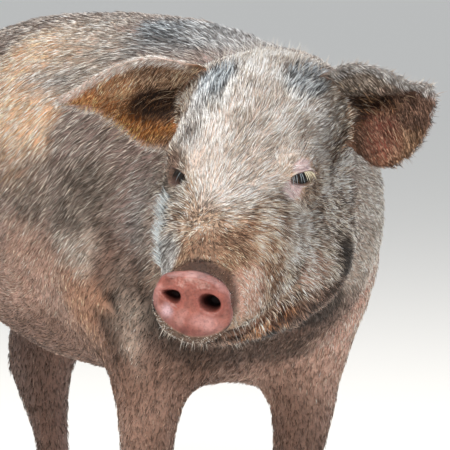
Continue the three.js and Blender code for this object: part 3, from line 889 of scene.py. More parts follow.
    def teats(self) -> list[Array]:
        """Places on the belly's line, in two rows, where the teats stand."""
        middle = middle_of("trunk")
        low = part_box("trunk")[0][2]
        return [np.array([middle[0] + side.value * 0.042, along, low + 0.01])
                for along in np.linspace(-0.10, 0.27, 6) for side in Side]

    def build(self, markings: Markings) -> Object:
        """Makes the skin with its folds, lids and regions, and the colours it shares with the coat."""
        mesh = self.fused()
        log.info("fused skin: %d vertices", len(mesh.vertices))
        eyes = [HEAD.out(eye.centre + eye.axes[0] * 10) for eye in EYES.values()]
        disc = HEAD.out(DISC.at)
        self.refine(mesh, [(spot, 30 * MM) for spot in eyes] + [(disc, 44 * MM)]
                    + [(spot, 16 * MM) for spot in self.teats()])
        self.refine(mesh, [(spot, 21 * MM) for spot in eyes] + [(spot, 11 * MM) for spot in self.teats()])
        self.label(mesh)
        self.settle(mesh)
        self.carve(mesh)
        self.open_lids(mesh)
        self.colour(mesh, markings)
        work = bmesh.new()
        work.from_mesh(mesh)
        bmesh.ops.triangulate(work, faces=work.faces)
        work.to_mesh(mesh)
        work.free()
        mesh.shade_smooth()
        mesh.name = "skin"
        piece = mesh_object("skin", mesh)
        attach(piece, BODY)
        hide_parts(*self.flesh_nodes())
        log.info("skin: %d triangles", len(mesh.polygons))
        self.mesh = mesh
        return piece

    def label(self, mesh: Mesh) -> None:
        """Finds which solid each vertex belongs to, as soft shares under self.parts."""
        corners, faces, owners, names = [], [], [], self.flesh_nodes()
        for number, name in enumerate(names):
            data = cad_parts[name].data
            start = len(corners)
            corners += [vertex.co.copy() for vertex in data.vertices]
            faces += [tuple(start + i for i in polygon.vertices) for polygon in data.polygons]
            owners += [number] * len(data.polygons)
        tree = BVHTree.FromPolygons(corners, faces)
        nearest = np.array([owners[tree.find_nearest(vertex.co)[2]] for vertex in mesh.vertices])
        edges = edge_ends(mesh)
        pull = np.full(len(nearest), 0.5)
        kinds = sorted({name.split("_")[0] if name != "lower_jaw" else name for name in names})
        self.parts = {}
        for kind in kinds:
            mine = np.array([name.startswith(kind) for name in names])[nearest].astype(float)
            self.parts[kind] = self.relaxed(mine, edges, pull, 6)
        self.ears = {side: self.relaxed((nearest == names.index(f"ear_{side.word}")).astype(float),
                                        edges, pull, 3) for side in Side}

    def settle(self, mesh: Mesh) -> None:
        """Smooths the facets away and sinks the skin by the coat's depth."""
        points, edges = coordinates(mesh), edge_ends(mesh)
        spots = HEAD.into(points)
        on_disc = DISC.into(spots)
        stiff = np.clip(self.parts["ear"] * 1.2, 0, 0.93)
        rim = length(on_disc / np.array([44, 26, 40]))
        stiff = np.maximum(stiff, 0.9 * ramp(rim, 1.15, 0.85))
        for eye in EYES.values():
            away = length(spots - eye.centre)
            stiff = np.maximum(stiff, 0.6 * ramp(away, 30.0, 18.0))
        feet = ramp(points[:, 2], 0.06, 0.03)
        stiff = np.maximum(stiff, 0.6 * feet)
        face = ramp(points[:, 1], self.face_from + 0.02, self.face_from - 0.02)
        for behind in (0.55, 0.35):
            self.smooth(mesh, 0.5 * (1.0 - stiff) * np.where(face > 0.5, 1.0, behind), self.rounds)
        points = coordinates(mesh)
        depth = sum(share * self.depths[kind] for kind, share in self.parts.items())
        depth /= np.maximum(sum(self.parts.values()), 1e-6)
        spots = HEAD.into(points)
        on_muzzle = self.parts["head"] * ramp(spots[:, 1], -170.0, -215.0)
        depth = depth * (1 - 0.55 * on_muzzle)
        depth *= 1.0 - 0.6 * ramp(points[:, 2], 0.12, 0.05)
        for eye in EYES.values():
            away = length(spots - eye.centre)
            depth *= 1.0 - 0.75 * ramp(away, 26.0, 15.0)
        depth = self.relaxed(depth, edges, np.full(len(depth), 0.5), 4)
        lumps = (Cloud(self.seed, 46 * MM).at(points) - 0.5) * 2.2
        lumps *= np.clip(self.parts["trunk"] + self.parts["neck"], 0, 1)
        points = points - vertex_normals(mesh) * ((depth + lumps * 0.7) * MM + self.overlap)[:, None]
        set_coordinates(mesh, points)

    def carve(self, mesh: Mesh) -> None:
        """Cuts the mouth, the folds, the nostrils and the toes' cleft, and raises the teats."""
        points, normals = coordinates(mesh), vertex_normals(mesh)
        spots = HEAD.into(points)
        sink = np.zeros(len(points))
        for crease in CREASES:
            sink += crease.depth_at(spots if crease.place is Place.HEAD else points / MM)

        off = self.above_mouth(spots) + 1.5 * ramp(spots[:, 1], -230, -250)
        back = ramp(spots[:, 1], -122.0, -150.0) * ramp(spots[:, 2], 20.0, -10.0) * self.face()
        back *= 1.0 - 0.5 * ramp(spots[:, 1], -215.0, -160.0)
        sink += back * (4.2 * hump(off, 1.7) - 1.1 * hump(np.abs(off) - 5.5, 2.6))
        points = points - normals * (sink * MM)[:, None]

        disc = DISC.into(HEAD.into(points))
        rim = DISC.rim(disc)
        behind = 2.6 * hump(disc[:, 1] - 10.5, 3.2) * ramp(rim, 1.4, 1.15) * ramp(rim, 0.6, 0.8)
        points = points - normals * (behind * MM)[:, None]
        disc = DISC.into(HEAD.into(points))
        shoulder = np.exp(-(((disc[:, 0] + 27.0) / 12.0) ** 2 + ((disc[:, 2] - 17.0) / 12.0) ** 2))
        shoulder *= ramp(disc[:, 1], 12.0, 4.0) * 4.0 * MM
        points = points + HEAD.turn_out(np.array([-0.6, 0.0, 0.8]) @ DISC.axes) * shoulder[:, None]
        disc = DISC.into(HEAD.into(points))
        flush = ramp(DISC.rim(disc), 0.97, 0.88) * (disc[:, 1] < 13.0)
        moved = (DISC.front(disc) - disc[:, 1]) * flush
        points = points + HEAD.turn_out(DISC.axes[1]) * (moved * MM)[:, None]

        spots = HEAD.into(points)
        for side, ear in EARS.items():
            along, across, _ = ear.into(spots).T
            mine = np.clip(self.ears[side] * 1.3 - 0.3, 0, 1)
            moved = np.stack([ear.grown[0] * ramp(along, 55, 125),
                              ear.grown[1] * ramp(across, -5, 30) * ramp(along, 10, 45),
                              ear.fold(along, across)], axis=1)
            points = points + HEAD.turn_out(moved @ ear.axes) * (mine * MM)[:, None]

        for teat in self.teats():
            away = length((points - teat)[:, :2]) / MM
            down = np.clip(-normals[:, 2], 0, 1) * (points[:, 2] < teat[2] + 0.09)
            lift = 6.5 * ramp(away, 5.2, 1.4) * down
            points = points + normals * (lift * MM)[:, None]

        for leg in ("foreleg", "hindleg"):
            for side in Side:
                low, high = (np.array(list(c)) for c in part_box(f"{leg}_{side.word}_claw_inner"))
                low2, high2 = (np.array(list(c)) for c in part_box(f"{leg}_{side.word}_claw_outer"))
                middle = (np.minimum(low, low2) + np.maximum(high, high2)) / 2
                near = hump(points[:, 0] - middle[0], 3.2 * MM)
                near *= ramp(np.abs(points[:, 1] - middle[1]), 0.06, 0.04)
                near *= ramp(points[:, 2], 0.055, 0.03) * (points[:, 1] < middle[1] + 0.01)
                points = points - normals * (near * 5.0 * MM)[:, None]
        set_coordinates(mesh, points)

    def open_lids(self, mesh: Mesh) -> None:
        """Lays the lids close over each eyeball, with their folds, and parts them."""
        points = coordinates(mesh)
        spots = HEAD.into(points)
        for eye in EYES.values():
            reach, along, above = eye.angles(spots)
            facing = ((spots - eye.centre) @ eye.axes[0]) / np.maximum(reach, 1e-6)
            hood = eye.lid * ramp(facing, -0.15, 0.35)
            blend = 2.4
            near = np.maximum(blend - np.abs(reach - hood), 0.0) / blend
            target = np.maximum(reach, hood) + near * near * blend / 4
            target = np.where(reach < 30.0, target, reach)
            wide = ramp(np.abs(along), 78.0, 50.0)
            folds = 1.2 * hump(above - 34, 5.5) + 0.9 * hump(above + 32, 5)
            folds += 0.7 * hump(above + 50, 5.5) + 0.6 * hump(above - 54, 6)
            target -= folds * wide * ramp(reach, 24.0, 16.0)
            margin = eye.margin(along, above)
            lid_edge = 0.55 * hump(margin + 4.5, 3.0)
            target += lid_edge * (facing > 0.2) * ramp(reach, 20.0, 15.0)
            parted = ramp(margin, -1.5, 2.0) * (facing > 0.1) * (reach < 22.0)
            target = target * (1 - parted) + (eye.ball - 2.2) * parted
            scale = np.where((facing > -0.2) & (reach < 30.0), target / np.maximum(reach, 1e-6), 1.0)
            spots = eye.centre + (spots - eye.centre) * scale[:, None]
        set_coordinates(mesh, HEAD.out(spots))

    def colour(self, mesh: Mesh, markings: Markings) -> None:
        """Writes the skin's colour and its wetness as attributes, and keeps the coat's tones."""
        points, normals = coordinates(mesh), vertex_normals(mesh)
        spots = HEAD.into(points)
        inner, rim = np.zeros((2, len(points)))
        for side, ear in EARS.items():
            facing = normals @ HEAD.turn_out(ear.axes[2])
            inner += self.ears[side] * ramp(facing, -0.25, 0.2)
            along, across, _ = ear.into(spots).T
            edge = hump(facing, 0.4) * ramp(along, 10.0, 30.0)
            near = ear.rim(along, across, self.ears[side] > 0.5)
            rim += self.ears[side] * np.maximum(edge, near)
        self.inner, self.rim = inner, rim
        self.tones = markings.colours(points, self.ears, inner, rim)
        disc = DISC.into(spots)
        x, y, z = disc.T
        edge = DISC.round(disc)
        left, right = DISC.from_nostrils(disc)
        away = np.minimum(left, right)
        front = (edge < 1.0) * (y < 17.0)
        bare = np.maximum(ramp(edge, 1.04, 0.96) * ramp(y, 8.0, 3.5), ramp(away, 1.45, 1.2) * front)
        self.bare = bare * (np.abs(y) < 30)
        self.gloss = self.bare * ramp(away, 0.8, 1.3)
        lip = ramp(length(disc / np.array([36, 14, 31])), 1.2, 1.0) * (1 - self.bare)
        skin = tinted(self.tones["skin"], "3e271d", 0.85 * lip)
        salmon = self.salmon(points, disc, edge)
        skin += (salmon - skin) * self.bare[:, None]
        band = np.maximum(ramp(edge, 1.36, 1.22) * ramp(z, 4.0, 14.0),
                          ramp(edge, 1.15, 1.06) * ramp(z, -12.0, -4.0))
        band *= 0.85 * ramp(y, -30.0, 4.0) * ramp(y, 26.0, 14.0) * (1 - self.bare)
        for key, shade in (("skin", "42291f"), ("pale", "604638"), ("dark", "26160f")):
            tint = tinted(self.tones[key], shade, band) - self.tones[key]
            self.tones[key] += tint
            skin += tint if key == "skin" else 0.0
        notch = hump(x + 2.0, 3.2) * ramp(z, -12.0, -19.0)
        # Darker round the nostrils and in the notch below; inside each nostril, painted shade deepening into
        # its pit.
        for shade, share in (("8d4f47", 0.7 * ramp(away, 1.9, 1.1)), ("5a2c26", 0.8 * notch),
                             ("431c17", ramp(away, 1.25, 0.7)), ("150705", 0.95 * ramp(left, 0.9, 0.45)),
                             ("2c130e", 0.9 * ramp(right, 0.9, 0.45))):
            skin = tinted(skin, shade, share * front)
        self.lidded = np.zeros(len(points))
        for eye in EYES.values():
            reach, along, above = eye.angles(spots)
            margin = eye.margin(along, above)
            skin = tinted(skin, "3b2320", 0.8 * hump(margin + 0.5, 4.0) * (reach < 19))
            self.lidded = np.maximum(self.lidded, ramp(margin, -9.0, -3.0) * (reach < 19))
        self.mouth = hump(self.above_mouth(spots), 2.2) * ramp(spots[:, 1], -126, -150)
        self.mouth *= self.face() * (1 - self.bare)
        # The mouth's line is painted dark, as shade in its groove.
        skin = tinted(skin, "2b140e", 0.85 * self.mouth)
        write_tone(mesh, skin)
        wet = mesh.attributes.new("bare", "FLOAT", "POINT")
        wet.data.foreach_set("value", self.gloss.astype(np.float32))

    def salmon(self, points: Array, disc: Array, edge: Array) -> Array:
        """Works out the colours of the bare nose: worn, rubbed, with two painted highlights, and painted
        shade towards its rim and below.

        Args:
            points: the skin's vertices.
            disc: their places on the disc.
            edge: how far they lie from the middle of the bare skin, 1 at its edge.

        Returns:
            A linear colour for each vertex.
        """
        x, _, z = disc.T
        worn = Cloud(self.seed + 9, 7 * MM).at(points) + Cloud(self.seed + 10, 2.0 * MM).at(points)
        salmon = np.tile(linear("93594f"), (len(points), 1)) * (0.5 + 0.44 * worn)[:, None]
        rubbed = ramp(Cloud(self.seed + 12, 9 * MM).at(points), 0.5, 0.8)
        # A painted highlight low on one side and a wet-looking painted highlight on the other; painted shade
        # darkens the disc towards its rim, its underside and a little at its top.
        lower_highlight = np.hypot((x - 14.0) / 16.0, (z + 8.0) / 9.0)
        wet_highlight = np.hypot((x + 18.0) / 7.0, (z + 6.0) / 10.0)
        rim_shade = 0.7 * ramp(edge, 0.80, 1.0) * (1.0 - 0.6 * ramp(x, 10.0, 20.0))
        for more in (0.85 * ramp(z, -9.0, -17.0), 0.8 * ramp(x, -7.0, -16.0) * ramp(z, -5.0, -12.0),
                     0.2 * ramp(z, 12.0, 20.0)):
            rim_shade = np.maximum(rim_shade, more)
        for shade, share in (("c09490", 0.55 * rubbed), ("c89a98", 0.5 * ramp(lower_highlight, 1.2, 0.2)),
                             ("c4aab4", 0.7 * ramp(wet_highlight, 1.1, 0.1)), ("70403a", rim_shade)):
            salmon = tinted(salmon, shade, share)
        return salmon


# ---- finishes


def principled(name: str, sockets: dict[str, object]) -> tuple[Material, Node]:
    """Makes a material with constants on its shader.

    Args:
        name: the material's name.
        sockets: the shader's input names with their constants.

    Returns:
        The material and its shader.
    """
    material = bpy.data.materials.new(name)
    material.use_nodes = True
    shader = material.node_tree.nodes["Principled BSDF"]
    for socket, value in sockets.items():
        shader.inputs[socket].default_value = value
    return material, shader


def noise(tree: NodeTree, place: NodeSocket, scale: float, detail: float) -> NodeSocket:
    """Adds smooth noise over the object's own coordinates."""
    settings = {"Scale": scale, "Detail": detail}
    return add_node(tree, "ShaderNodeTexNoise", settings, {"Vector": place}).outputs["Fac"]


def remapped(tree: NodeTree, value: NodeSocket, settings: dict[str, float]) -> NodeSocket:
    """Adds a change of range."""
    return add_node(tree, "ShaderNodeMapRange", settings, {"Value": value}).outputs[0]


def attribute(tree: NodeTree, name: str, output: str) -> NodeSocket:
    """Reads one of the mesh's own attributes."""
    return add_node(tree, "ShaderNodeAttribute", {"attribute_name": name}).outputs[output]


def object_place(tree: NodeTree) -> NodeSocket:
    """Reads the object's own coordinates."""
    return add_node(tree, "ShaderNodeTexCoord").outputs["Object"]


def shaded(tree: NodeTree, shader: Node, colour: NodeSocket, share: NodeSocket) -> None:
    """Feeds the shader a colour that is dimmed or lightened by a share."""
    scaled = add_node(tree, "ShaderNodeVectorMath", {"operation": "SCALE"}, {0: colour, "Scale": share})
    tree.links.new(scaled.outputs[0], shader.inputs["Base Color"])


def raised(tree: NodeTree, shader: Node, height: NodeSocket, strength: float, deep: float) -> None:
    """Gives the shader a bump, deep in metres."""
    bump = add_node(tree, "ShaderNodeBump", {"Strength": strength, "Distance": deep}, {"Height": height})
    tree.links.new(bump.outputs[0], shader.inputs["Normal"])


@dataclass(frozen=True)
class LivingSkin:
    """Thin pig skin: soft, pink through its markings, pored, and moist on the nose disc."""

    pore: float = 1.1 * MM
    wrinkle: float = 9.0 * MM

    def made(self) -> Material:
        """Returns the material."""
        material, shader = principled("pig skin", {
            "IOR": 1.4, "Subsurface Weight": 0.12, "Subsurface Radius": (1.0, 0.35, 0.2),
            "Subsurface Scale": 2.5 * MM})
        tree = material.node_tree
        tone, bare = attribute(tree, "tone", "Color"), attribute(tree, "bare", "Fac")
        place = object_place(tree)
        mottle = noise(tree, place, 0.35 / self.pore, 4.0)
        pores = add_node(tree, "ShaderNodeTexVoronoi", {"Scale": 0.55 / self.pore}, {"Vector": place})
        dots = remapped(tree, pores.outputs["Distance"],
                        {"From Min": 0.10, "From Max": 0.42, "To Min": 0.78, "To Max": 1.04})
        patchy = remapped(tree, mottle, {"From Min": 0.3, "From Max": 0.7, "To Min": 0.78, "To Max": 1.16})
        both = add_node(tree, "ShaderNodeMath", {"operation": "MULTIPLY"}, {0: dots, 1: patchy})
        shaded(tree, shader, tone, both.outputs[0])
        gloss = remapped(tree, bare, {"To Min": 0.62, "To Max": 0.36})
        tree.links.new(gloss, shader.inputs["Roughness"])
        folds = noise(tree, place, 1.0 / self.wrinkle, 5.0)
        height = add_node(tree, "ShaderNodeMath", {"operation": "MULTIPLY_ADD", 1: 0.5},
                          {0: pores.outputs["Distance"], 2: folds})
        raised(tree, shader, height.outputs[0], 0.6, 0.7 * MM)
        return material


@dataclass(frozen=True)
class Bristle:
    """Keratin hair, slightly glossy, coloured hair by hair from the coat's own tones."""

    roughness: float = 0.5
    streak: float = 3.0 * MM

    def made(self) -> Material:
        """Returns the material."""
        material, shader = principled("pig bristle", {
            "IOR": 1.55, "Roughness": self.roughness, "Specular IOR Level": 0.35})
        tree = material.node_tree
        tone = attribute(tree, "tone", "Color")
        streak = noise(tree, object_place(tree), 1 / self.streak, 2.0)
        shade = remapped(tree, streak, {"From Min": 0.3, "From Max": 0.7, "To Min": 0.88, "To Max": 1.1})
        shaded(tree, shader, tone, shade)
        return material


@dataclass(frozen=True)
class EyeGlaze:
    """A wet dark brown eye: pupil and iris about the gaze, a grey-white rim, under a clear gloss.

    The rings are colours with the share of the ball's radius, along the gaze, where each starts.
    """

    rings: tuple[tuple[float, str], ...] = (
        (0.70, "6a4c40"), (0.76, "1c110b"), (0.80, "22120b"), (0.90, "4a2a17"), (0.935, "030202"))

    def made(self, eye: EyePlace) -> Material:
        """Returns the material of one eye."""
        material, shader = principled(f"wet eye {eye.side.word}", {
            "Roughness": 0.08, "IOR": 1.28, "Coat Weight": 0.15, "Coat Roughness": 0.03})
        tree = material.node_tree
        place = object_place(tree)
        offset = add_node(tree, "ShaderNodeVectorMath",
                          {"operation": "SUBTRACT", 1: tuple(HEAD.out(eye.centre))}, {0: place})
        out = add_node(tree, "ShaderNodeVectorMath",
                       {"operation": "DOT_PRODUCT", 1: tuple(HEAD.turn_out(eye.axes[0]))},
                       {0: offset.outputs[0]})
        share = add_node(tree, "ShaderNodeMath", {"operation": "DIVIDE", 1: eye.ball * MM},
                         {0: out.outputs["Value"]})
        rings = add_node(tree, "ShaderNodeValToRGB", {}, {"Fac": share.outputs[0]})
        stops = rings.color_ramp.elements
        for number, (position, colour) in enumerate(self.rings):
            stop = stops[number] if number < 2 else stops.new(position)
            stop.position, stop.color = position, rgba(colour)
        fibres = remapped(tree, noise(tree, place, 900.0, 3.0), {"To Min": 0.7, "To Max": 1.25})
        shaded(tree, shader, rings.outputs["Color"], fibres)
        return material


@dataclass(frozen=True)
class HoofHorn:
    """Dull grey-brown horn with growth rings, its colour and roughness varied by noise."""

    ring: float = 2.6 * MM
    waver: float = 4.0 * MM
    colours: tuple[tuple[float, str], ...] = ((0.3, "3d2f27"), (0.72, "8a7462"))

    def made(self) -> Material:
        """Returns the material."""
        material, shader = principled("hoof horn", {"IOR": 1.54})
        tree = material.node_tree
        place = object_place(tree)
        height = add_node(tree, "ShaderNodeSeparateXYZ", {}, {"Vector": place}).outputs["Z"]
        grime = noise(tree, place, 120.0, 6.0)
        wavy = add_node(tree, "ShaderNodeMath", {"operation": "MULTIPLY_ADD", 1: self.waver},
                        {0: grime, 2: height})
        rings = add_node(tree, "ShaderNodeMath", {"operation": "PINGPONG", 1: self.ring / 2},
                         {0: wavy.outputs[0]})
        band = remapped(tree, rings.outputs[0], {"From Max": self.ring / 2})
        colour = add_node(tree, "ShaderNodeValToRGB", {}, {"Fac": grime})
        for stop, (position, shade) in zip(colour.color_ramp.elements, self.colours):
            stop.position, stop.color = position, rgba(shade)
        shaded(tree, shader, colour.outputs["Color"], remapped(tree, band, {"To Min": 0.8, "To Max": 1.08}))
        tree.links.new(remapped(tree, grime, {"To Min": 0.5, "To Max": 0.75}), shader.inputs["Roughness"])
        raised(tree, shader, band, 0.5, 0.4 * MM)
        return material


@dataclass(frozen=True)
class StudioFloor:
    """A plain pale matt floor."""

    colour: str = "f6f3ee"

    def made(self) -> Material:
        """Returns the material."""
        return principled("pale matt floor", {
            "Base Color": rgba(self.colour), "Roughness": 0.9, "Specular IOR Level": 0.15})[0]


# ---- the coat


@dataclass(frozen=True)
class Growth:
    """How the coat grows on one part: lengths and widths in mm, density per square cm."""

    long: float
    wide: float
    dense: float
    lift: float


GROWTH = {
    "trunk": Growth(16.5, 0.37, 18.6, 8.0),
    "neck": Growth(13.0, 0.37, 26.0, 10.0),
    "head": Growth(10.6, 0.42, 54.0, 14.0),
    "snout": Growth(5.5, 0.34, 60.0, 18.0),
    "lower_jaw": Growth(12.0, 0.50, 30.0, 16.0),
    "ear": Growth(7.4, 0.36, 56.0, 11.0),
    "tail": Growth(16.0, 0.65, 18.0, 14.0),
    "foreleg": Growth(10.0, 0.40, 18.0, 11.0),
    "hindleg": Growth(12.0, 0.54, 10.0, 11.0),
}


class LieOfCoat:
    """Which way the hair lies over the skin: back from the nose, back and down on the body."""

    WHORL = (-15.0, -192.0, 46.0)

    def __init__(self, hide: Hide) -> None:
        """Works out the lie at each vertex of the finished skin."""
        points, self.normals = coordinates(hide.mesh), vertex_normals(hide.mesh)
        spots, parts = HEAD.into(points), hide.parts
        from_whorl = spots - np.array(self.WHORL)
        from_whorl[:, 1] *= 0.8
        spiral = np.cross(from_whorl, np.array([0.0, -0.5, 0.85]))
        spiral *= ramp(length(from_whorl), 34.0, 8.0)[:, None] * 0.8
        head = HEAD.turn_out(unit(from_whorl + spiral))
        sideways = (points[:, 0] - middle_of("trunk")[0]) / 0.15
        under = ramp(self.normals[:, 2], -0.2, -0.8)
        down = 0.25 + 0.85 * ramp(points[:, 2], 0.36, 0.50)
        body = np.stack([0.25 * sideways * (1 - under), np.ones(len(points)),
                         -down * np.abs(sideways) ** 0.6 * (1 - under)], axis=1)
        leg = np.tile([0.0, 0.22, -1.0], (len(points), 1))
        tail = np.tile([0.0, 0.25, -1.0], (len(points), 1))
        snout = HEAD.turn_out(np.tile([0.0, 1.0, 0.0], (len(points), 1)))
        lie = (unit(body) * (parts["trunk"] + parts["neck"])[:, None]
               + leg * 1.2 * (parts["foreleg"] + parts["hindleg"])[:, None]
               + tail * parts["tail"][:, None] + snout * parts["snout"][:, None]
               + head * (parts["head"] + parts["lower_jaw"])[:, None])
        lie += head * (parts["neck"] * ramp(spots[:, 1], 40.0, -10.0))[:, None]
        for side, ear in EARS.items():
            fan = np.clip(ear.into(spots)[:, 1] / 60.0, -1, 1)
            out = ear.axes[0] + fan[:, None] * 0.55 * ear.axes[1]
            inside = ear.axes[0] * 0.55 - ear.axes[1] * 0.8
            way = out + (inside - out) * hide.inner[:, None]
            lie += HEAD.turn_out(unit(way)) * (hide.ears[side] * 1.6)[:, None]
        for eye in EYES.values():
            away = spots - eye.centre
            lie += HEAD.turn_out(unit(away)) * (1.1 * ramp(length(away), 34.0, 15.0))[:, None]
        lie -= self.normals * np.sum(lie * self.normals, axis=1, keepdims=True)
        pull = np.full(len(points), 0.5)
        self.directions = unit(Hide.relaxed(unit(lie), edge_ends(hide.mesh), pull, 6))


@dataclass(frozen=True)
class CoatPiece:
    """One stretch of coat: a name, which vertices it grows on, and how it is unwrapped."""

    name: str
    belongs: Callable[["Coat"], Array]
    unwrap: Callable[["Coat", Array], Array]


@dataclass(frozen=True)
class Roots:
    """Places on the skin: the three vertices of each one's triangle, and their weights."""

    corners: Array
    weights: Array

    def read(self, values: Array) -> Array:
        """Reads per-vertex values at the roots."""
        picked = values[self.corners]
        weights = self.weights if values.ndim == 1 else self.weights[:, :, None]
        return np.sum(picked * weights, axis=1)


@dataclass
class Coat:
    """Short bristly hair over the whole skin, in thin tapered tufts."""

    hide: Hide
    material: Material
    seed: int = 23
    sink: float = 0.7 * MM
    patch: float = 0.0015
    clump: int = 9
    locks: float = 0.38

    def __post_init__(self) -> None:
        """Measures the skin and works out length, width and density at each vertex."""
        mesh = self.hide.mesh
        self.points, self.normals = coordinates(mesh), vertex_normals(mesh)
        self.spots = HEAD.into(self.points)
        self.lie = LieOfCoat(self.hide).directions
        self.faces = read_rows(mesh.loops, "vertex_index", 1, np.int32).reshape(-1, 3)
        tri = self.points[self.faces]
        self.areas = length(np.cross(tri[:, 1] - tri[:, 0], tri[:, 2] - tri[:, 0])) / 2
        total = np.maximum(sum(self.hide.parts.values()), 1e-6)
        for key in ("long", "wide", "dense", "lift"):
            value = sum(self.hide.parts[kind] * getattr(growth, key) for kind, growth in GROWTH.items())
            setattr(self, key, value / total)
        self.shape_growth()

    def shape_growth(self) -> None:
        """Shortens the coat on muzzle, lids and feet, and keeps the nose and lid edges bare."""
        spots, hide, parts = self.spots, self.hide, self.hide.parts
        muzzle = ramp(spots[:, 1], -165.0, -238.0) * parts["head"]
        muzzle = np.maximum(muzzle, parts["snout"])
        self.long *= 1.0 - 0.58 * muzzle
        self.wide *= 1.0 - 0.2 * muzzle
        forehead = np.exp(-np.sum(((spots - np.array([0, -80, 105])) / np.array([42, 70, 45])) ** 2, axis=1))
        self.long *= 1.0 + 0.35 * forehead
        for eye in EYES.values():
            reach = length(spots - eye.centre)
            self.long *= 1.0 - 0.42 * ramp(reach, 32.0, 15.0)
            self.dense *= 1.0 + 0.5 * ramp(reach, 30.0, 18.0)
            self.wide *= 1.0 - 0.3 * ramp(reach, 36.0, 18.0)
        for pad in LID_PADS:
            self.dense *= 1.0 - 0.6 * pad.cover(spots, np.zeros(len(spots)))
        crown = length(spots - np.array(LieOfCoat.WHORL))
        self.long *= 1.0 - 0.35 * ramp(crown, 20.0, 6.0)
        self.dense *= 1.0 + 0.7 * ramp(crown, 16.0, 4.0)
        self.face = hide.face()
        self.long *= 1.0 - 0.55 * ramp(self.points[:, 2], 0.16, 0.03)
        self.long *= 1.0 - 0.25 * ramp(self.points[:, 2], 0.44, 0.34) * (1.0 - self.face)
        self.dense *= 1.0 + 0.6 * hide.inner
        belly = ramp(self.normals[:, 2], -0.45, -0.9) * parts["trunk"]
        self.dense *= 1.0 - 0.45 * belly
        self.dense *= 1.0 - hide.bare
        self.dense *= 1.0 - np.clip(hide.lidded * 1.2, 0, 1)
        self.dense *= 1.0 - 0.8 * hide.mouth
        self.dense *= np.where(hide.tones["share"] < 0.3, 0.75, 1.0)

    def roots(self, belongs: Array, rng: Rng) -> Roots:
        """Scatters roots evenly over some of the skin.

        Args:
            belongs: the share of each vertex that this piece grows on.
            rng: the seeded random numbers.
        """
        heap = np.cumsum((self.dense * belongs)[self.faces].mean(axis=1) * self.areas * 1e4)
        count = int(heap[-1])
        marks = (np.arange(count) + rng.random(count)) * heap[-1] / count
        face = np.minimum(np.searchsorted(heap, marks), len(heap) - 1)
        first, second = np.sqrt(rng.random(count)), rng.random(count)
        weights = np.stack([1 - first, first * (1 - second), first * second], axis=1)
        return Roots(self.faces[face], weights)

    def scatter(self, share: Array, count: int, rng: Rng) -> tuple[Array, Array]:
        """Picks some places on the skin, with its normals there.

        Args:
            share: how thickly each vertex is sown.
            count: how many places.
            rng: the seeded random numbers.

        Returns:
            The places and the normals.
        """
        heap = np.cumsum(share[self.faces].mean(axis=1) * self.areas)
        face = np.minimum(np.searchsorted(heap, rng.random(count) * heap[-1]), len(heap) - 1)
        at = Roots(self.faces[face], rng.dirichlet((1.0, 1.0, 1.0), count))
        return at.read(self.points), unit(at.read(self.normals))

    def tufts(self, piece: CoatPiece, number: int) -> Object:
        """Grows one piece of coat.

        Args:
            piece: which piece.
            number: its place in the order, which seeds it.
        """
        rng = np.random.default_rng(self.seed + number)
        at = self.roots(piece.belongs(self), rng)
        count = len(at.corners)
        root, normal, lie = at.read(self.points), unit(at.read(self.normals)), at.read(self.lie)
        lie = unit(lie - normal * np.sum(lie * normal, axis=1, keepdims=True))
        side = np.cross(normal, lie)
        face_share = at.read(self.face)
        swirl = (Cloud(self.seed + 60, 42 * MM).at(root) - 0.5) * 0.5
        swirl += (Cloud(self.seed + 61, 9 * MM).at(root) - 0.5) * (0.35 + 0.25 * face_share)
        crown = length(HEAD.into(root) - np.array(LieOfCoat.WHORL))
        swirl += rng.normal(0.0, 0.12, count) * (1.0 + 9.0 * ramp(crown, 22.0, 6.0))
        along = lie * np.cos(swirl)[:, None] + side * np.sin(swirl)[:, None]
        across = np.cross(normal, along)
        lift = np.radians(at.read(self.lift))
        lift *= 0.55 + 0.9 * rng.random(count) + 0.5 * (Cloud(self.seed + 62, 12 * MM).at(root) - 0.5)
        lock = rng.random(count) < self.locks
        long = at.read(self.long) * MM * (0.62 + 0.6 * rng.random(count))
        long *= np.where(lock, 1.12, 0.95)
        wide = at.read(self.wide) * MM * (0.6 + 0.5 * rng.random(count))
        wide *= np.where(lock, 1.45, 1.0)
        lift += np.where(lock, 0.05, 0.0)
        point = along * np.cos(lift)[:, None] + normal * np.sin(lift)[:, None]
        thick = wide * 0.42
        base = root - normal * self.sink
        half = across * (wide / 2)[:, None]
        mid = base + point * (long * 0.42)[:, None] + normal * (self.sink * 0.9)
        bend = normal * (long * 0.035)[:, None]
        corners = np.stack([
            base, mid - half + bend * 0.4, mid + half + bend * 0.4, mid + normal * thick[:, None] + bend,
            root + point * long[:, None] - bend * 1.5], axis=1)
        group = self.clumps(root)
        tips = corners[:, 4]
        apart = tips[group] - tips
        drawn = (0.12 + 0.35 * rng.random(count)) * ramp(length(apart), 12 * MM, 6 * MM)
        move = apart * drawn[:, None]
        corners[:, 4] += move
        corners[:, 1:4] += 0.3 * move[:, None, :]
        order = np.array([[0, 2, 1], [0, 1, 3], [0, 3, 2], [1, 2, 4], [3, 1, 4], [2, 3, 4]])
        colours = self.colour(root, at, group, rng)
        colours *= (1.0 + np.where(lock, 0.30, -0.25) + 0.05 * face_share)[:, None, None]
        colours = np.clip(colours, 0.0, 0.95)
        uv = np.clip(piece.unwrap(self, root), 2 * self.patch, 1 - 2 * self.patch)
        corner_uv = np.array([[0, -1], [-1, 0], [1, 0], [0, 0.2], [0, 1]]) * self.patch
        return self.joined(piece.name, corners, order, colours, uv[:, None, :] + corner_uv)

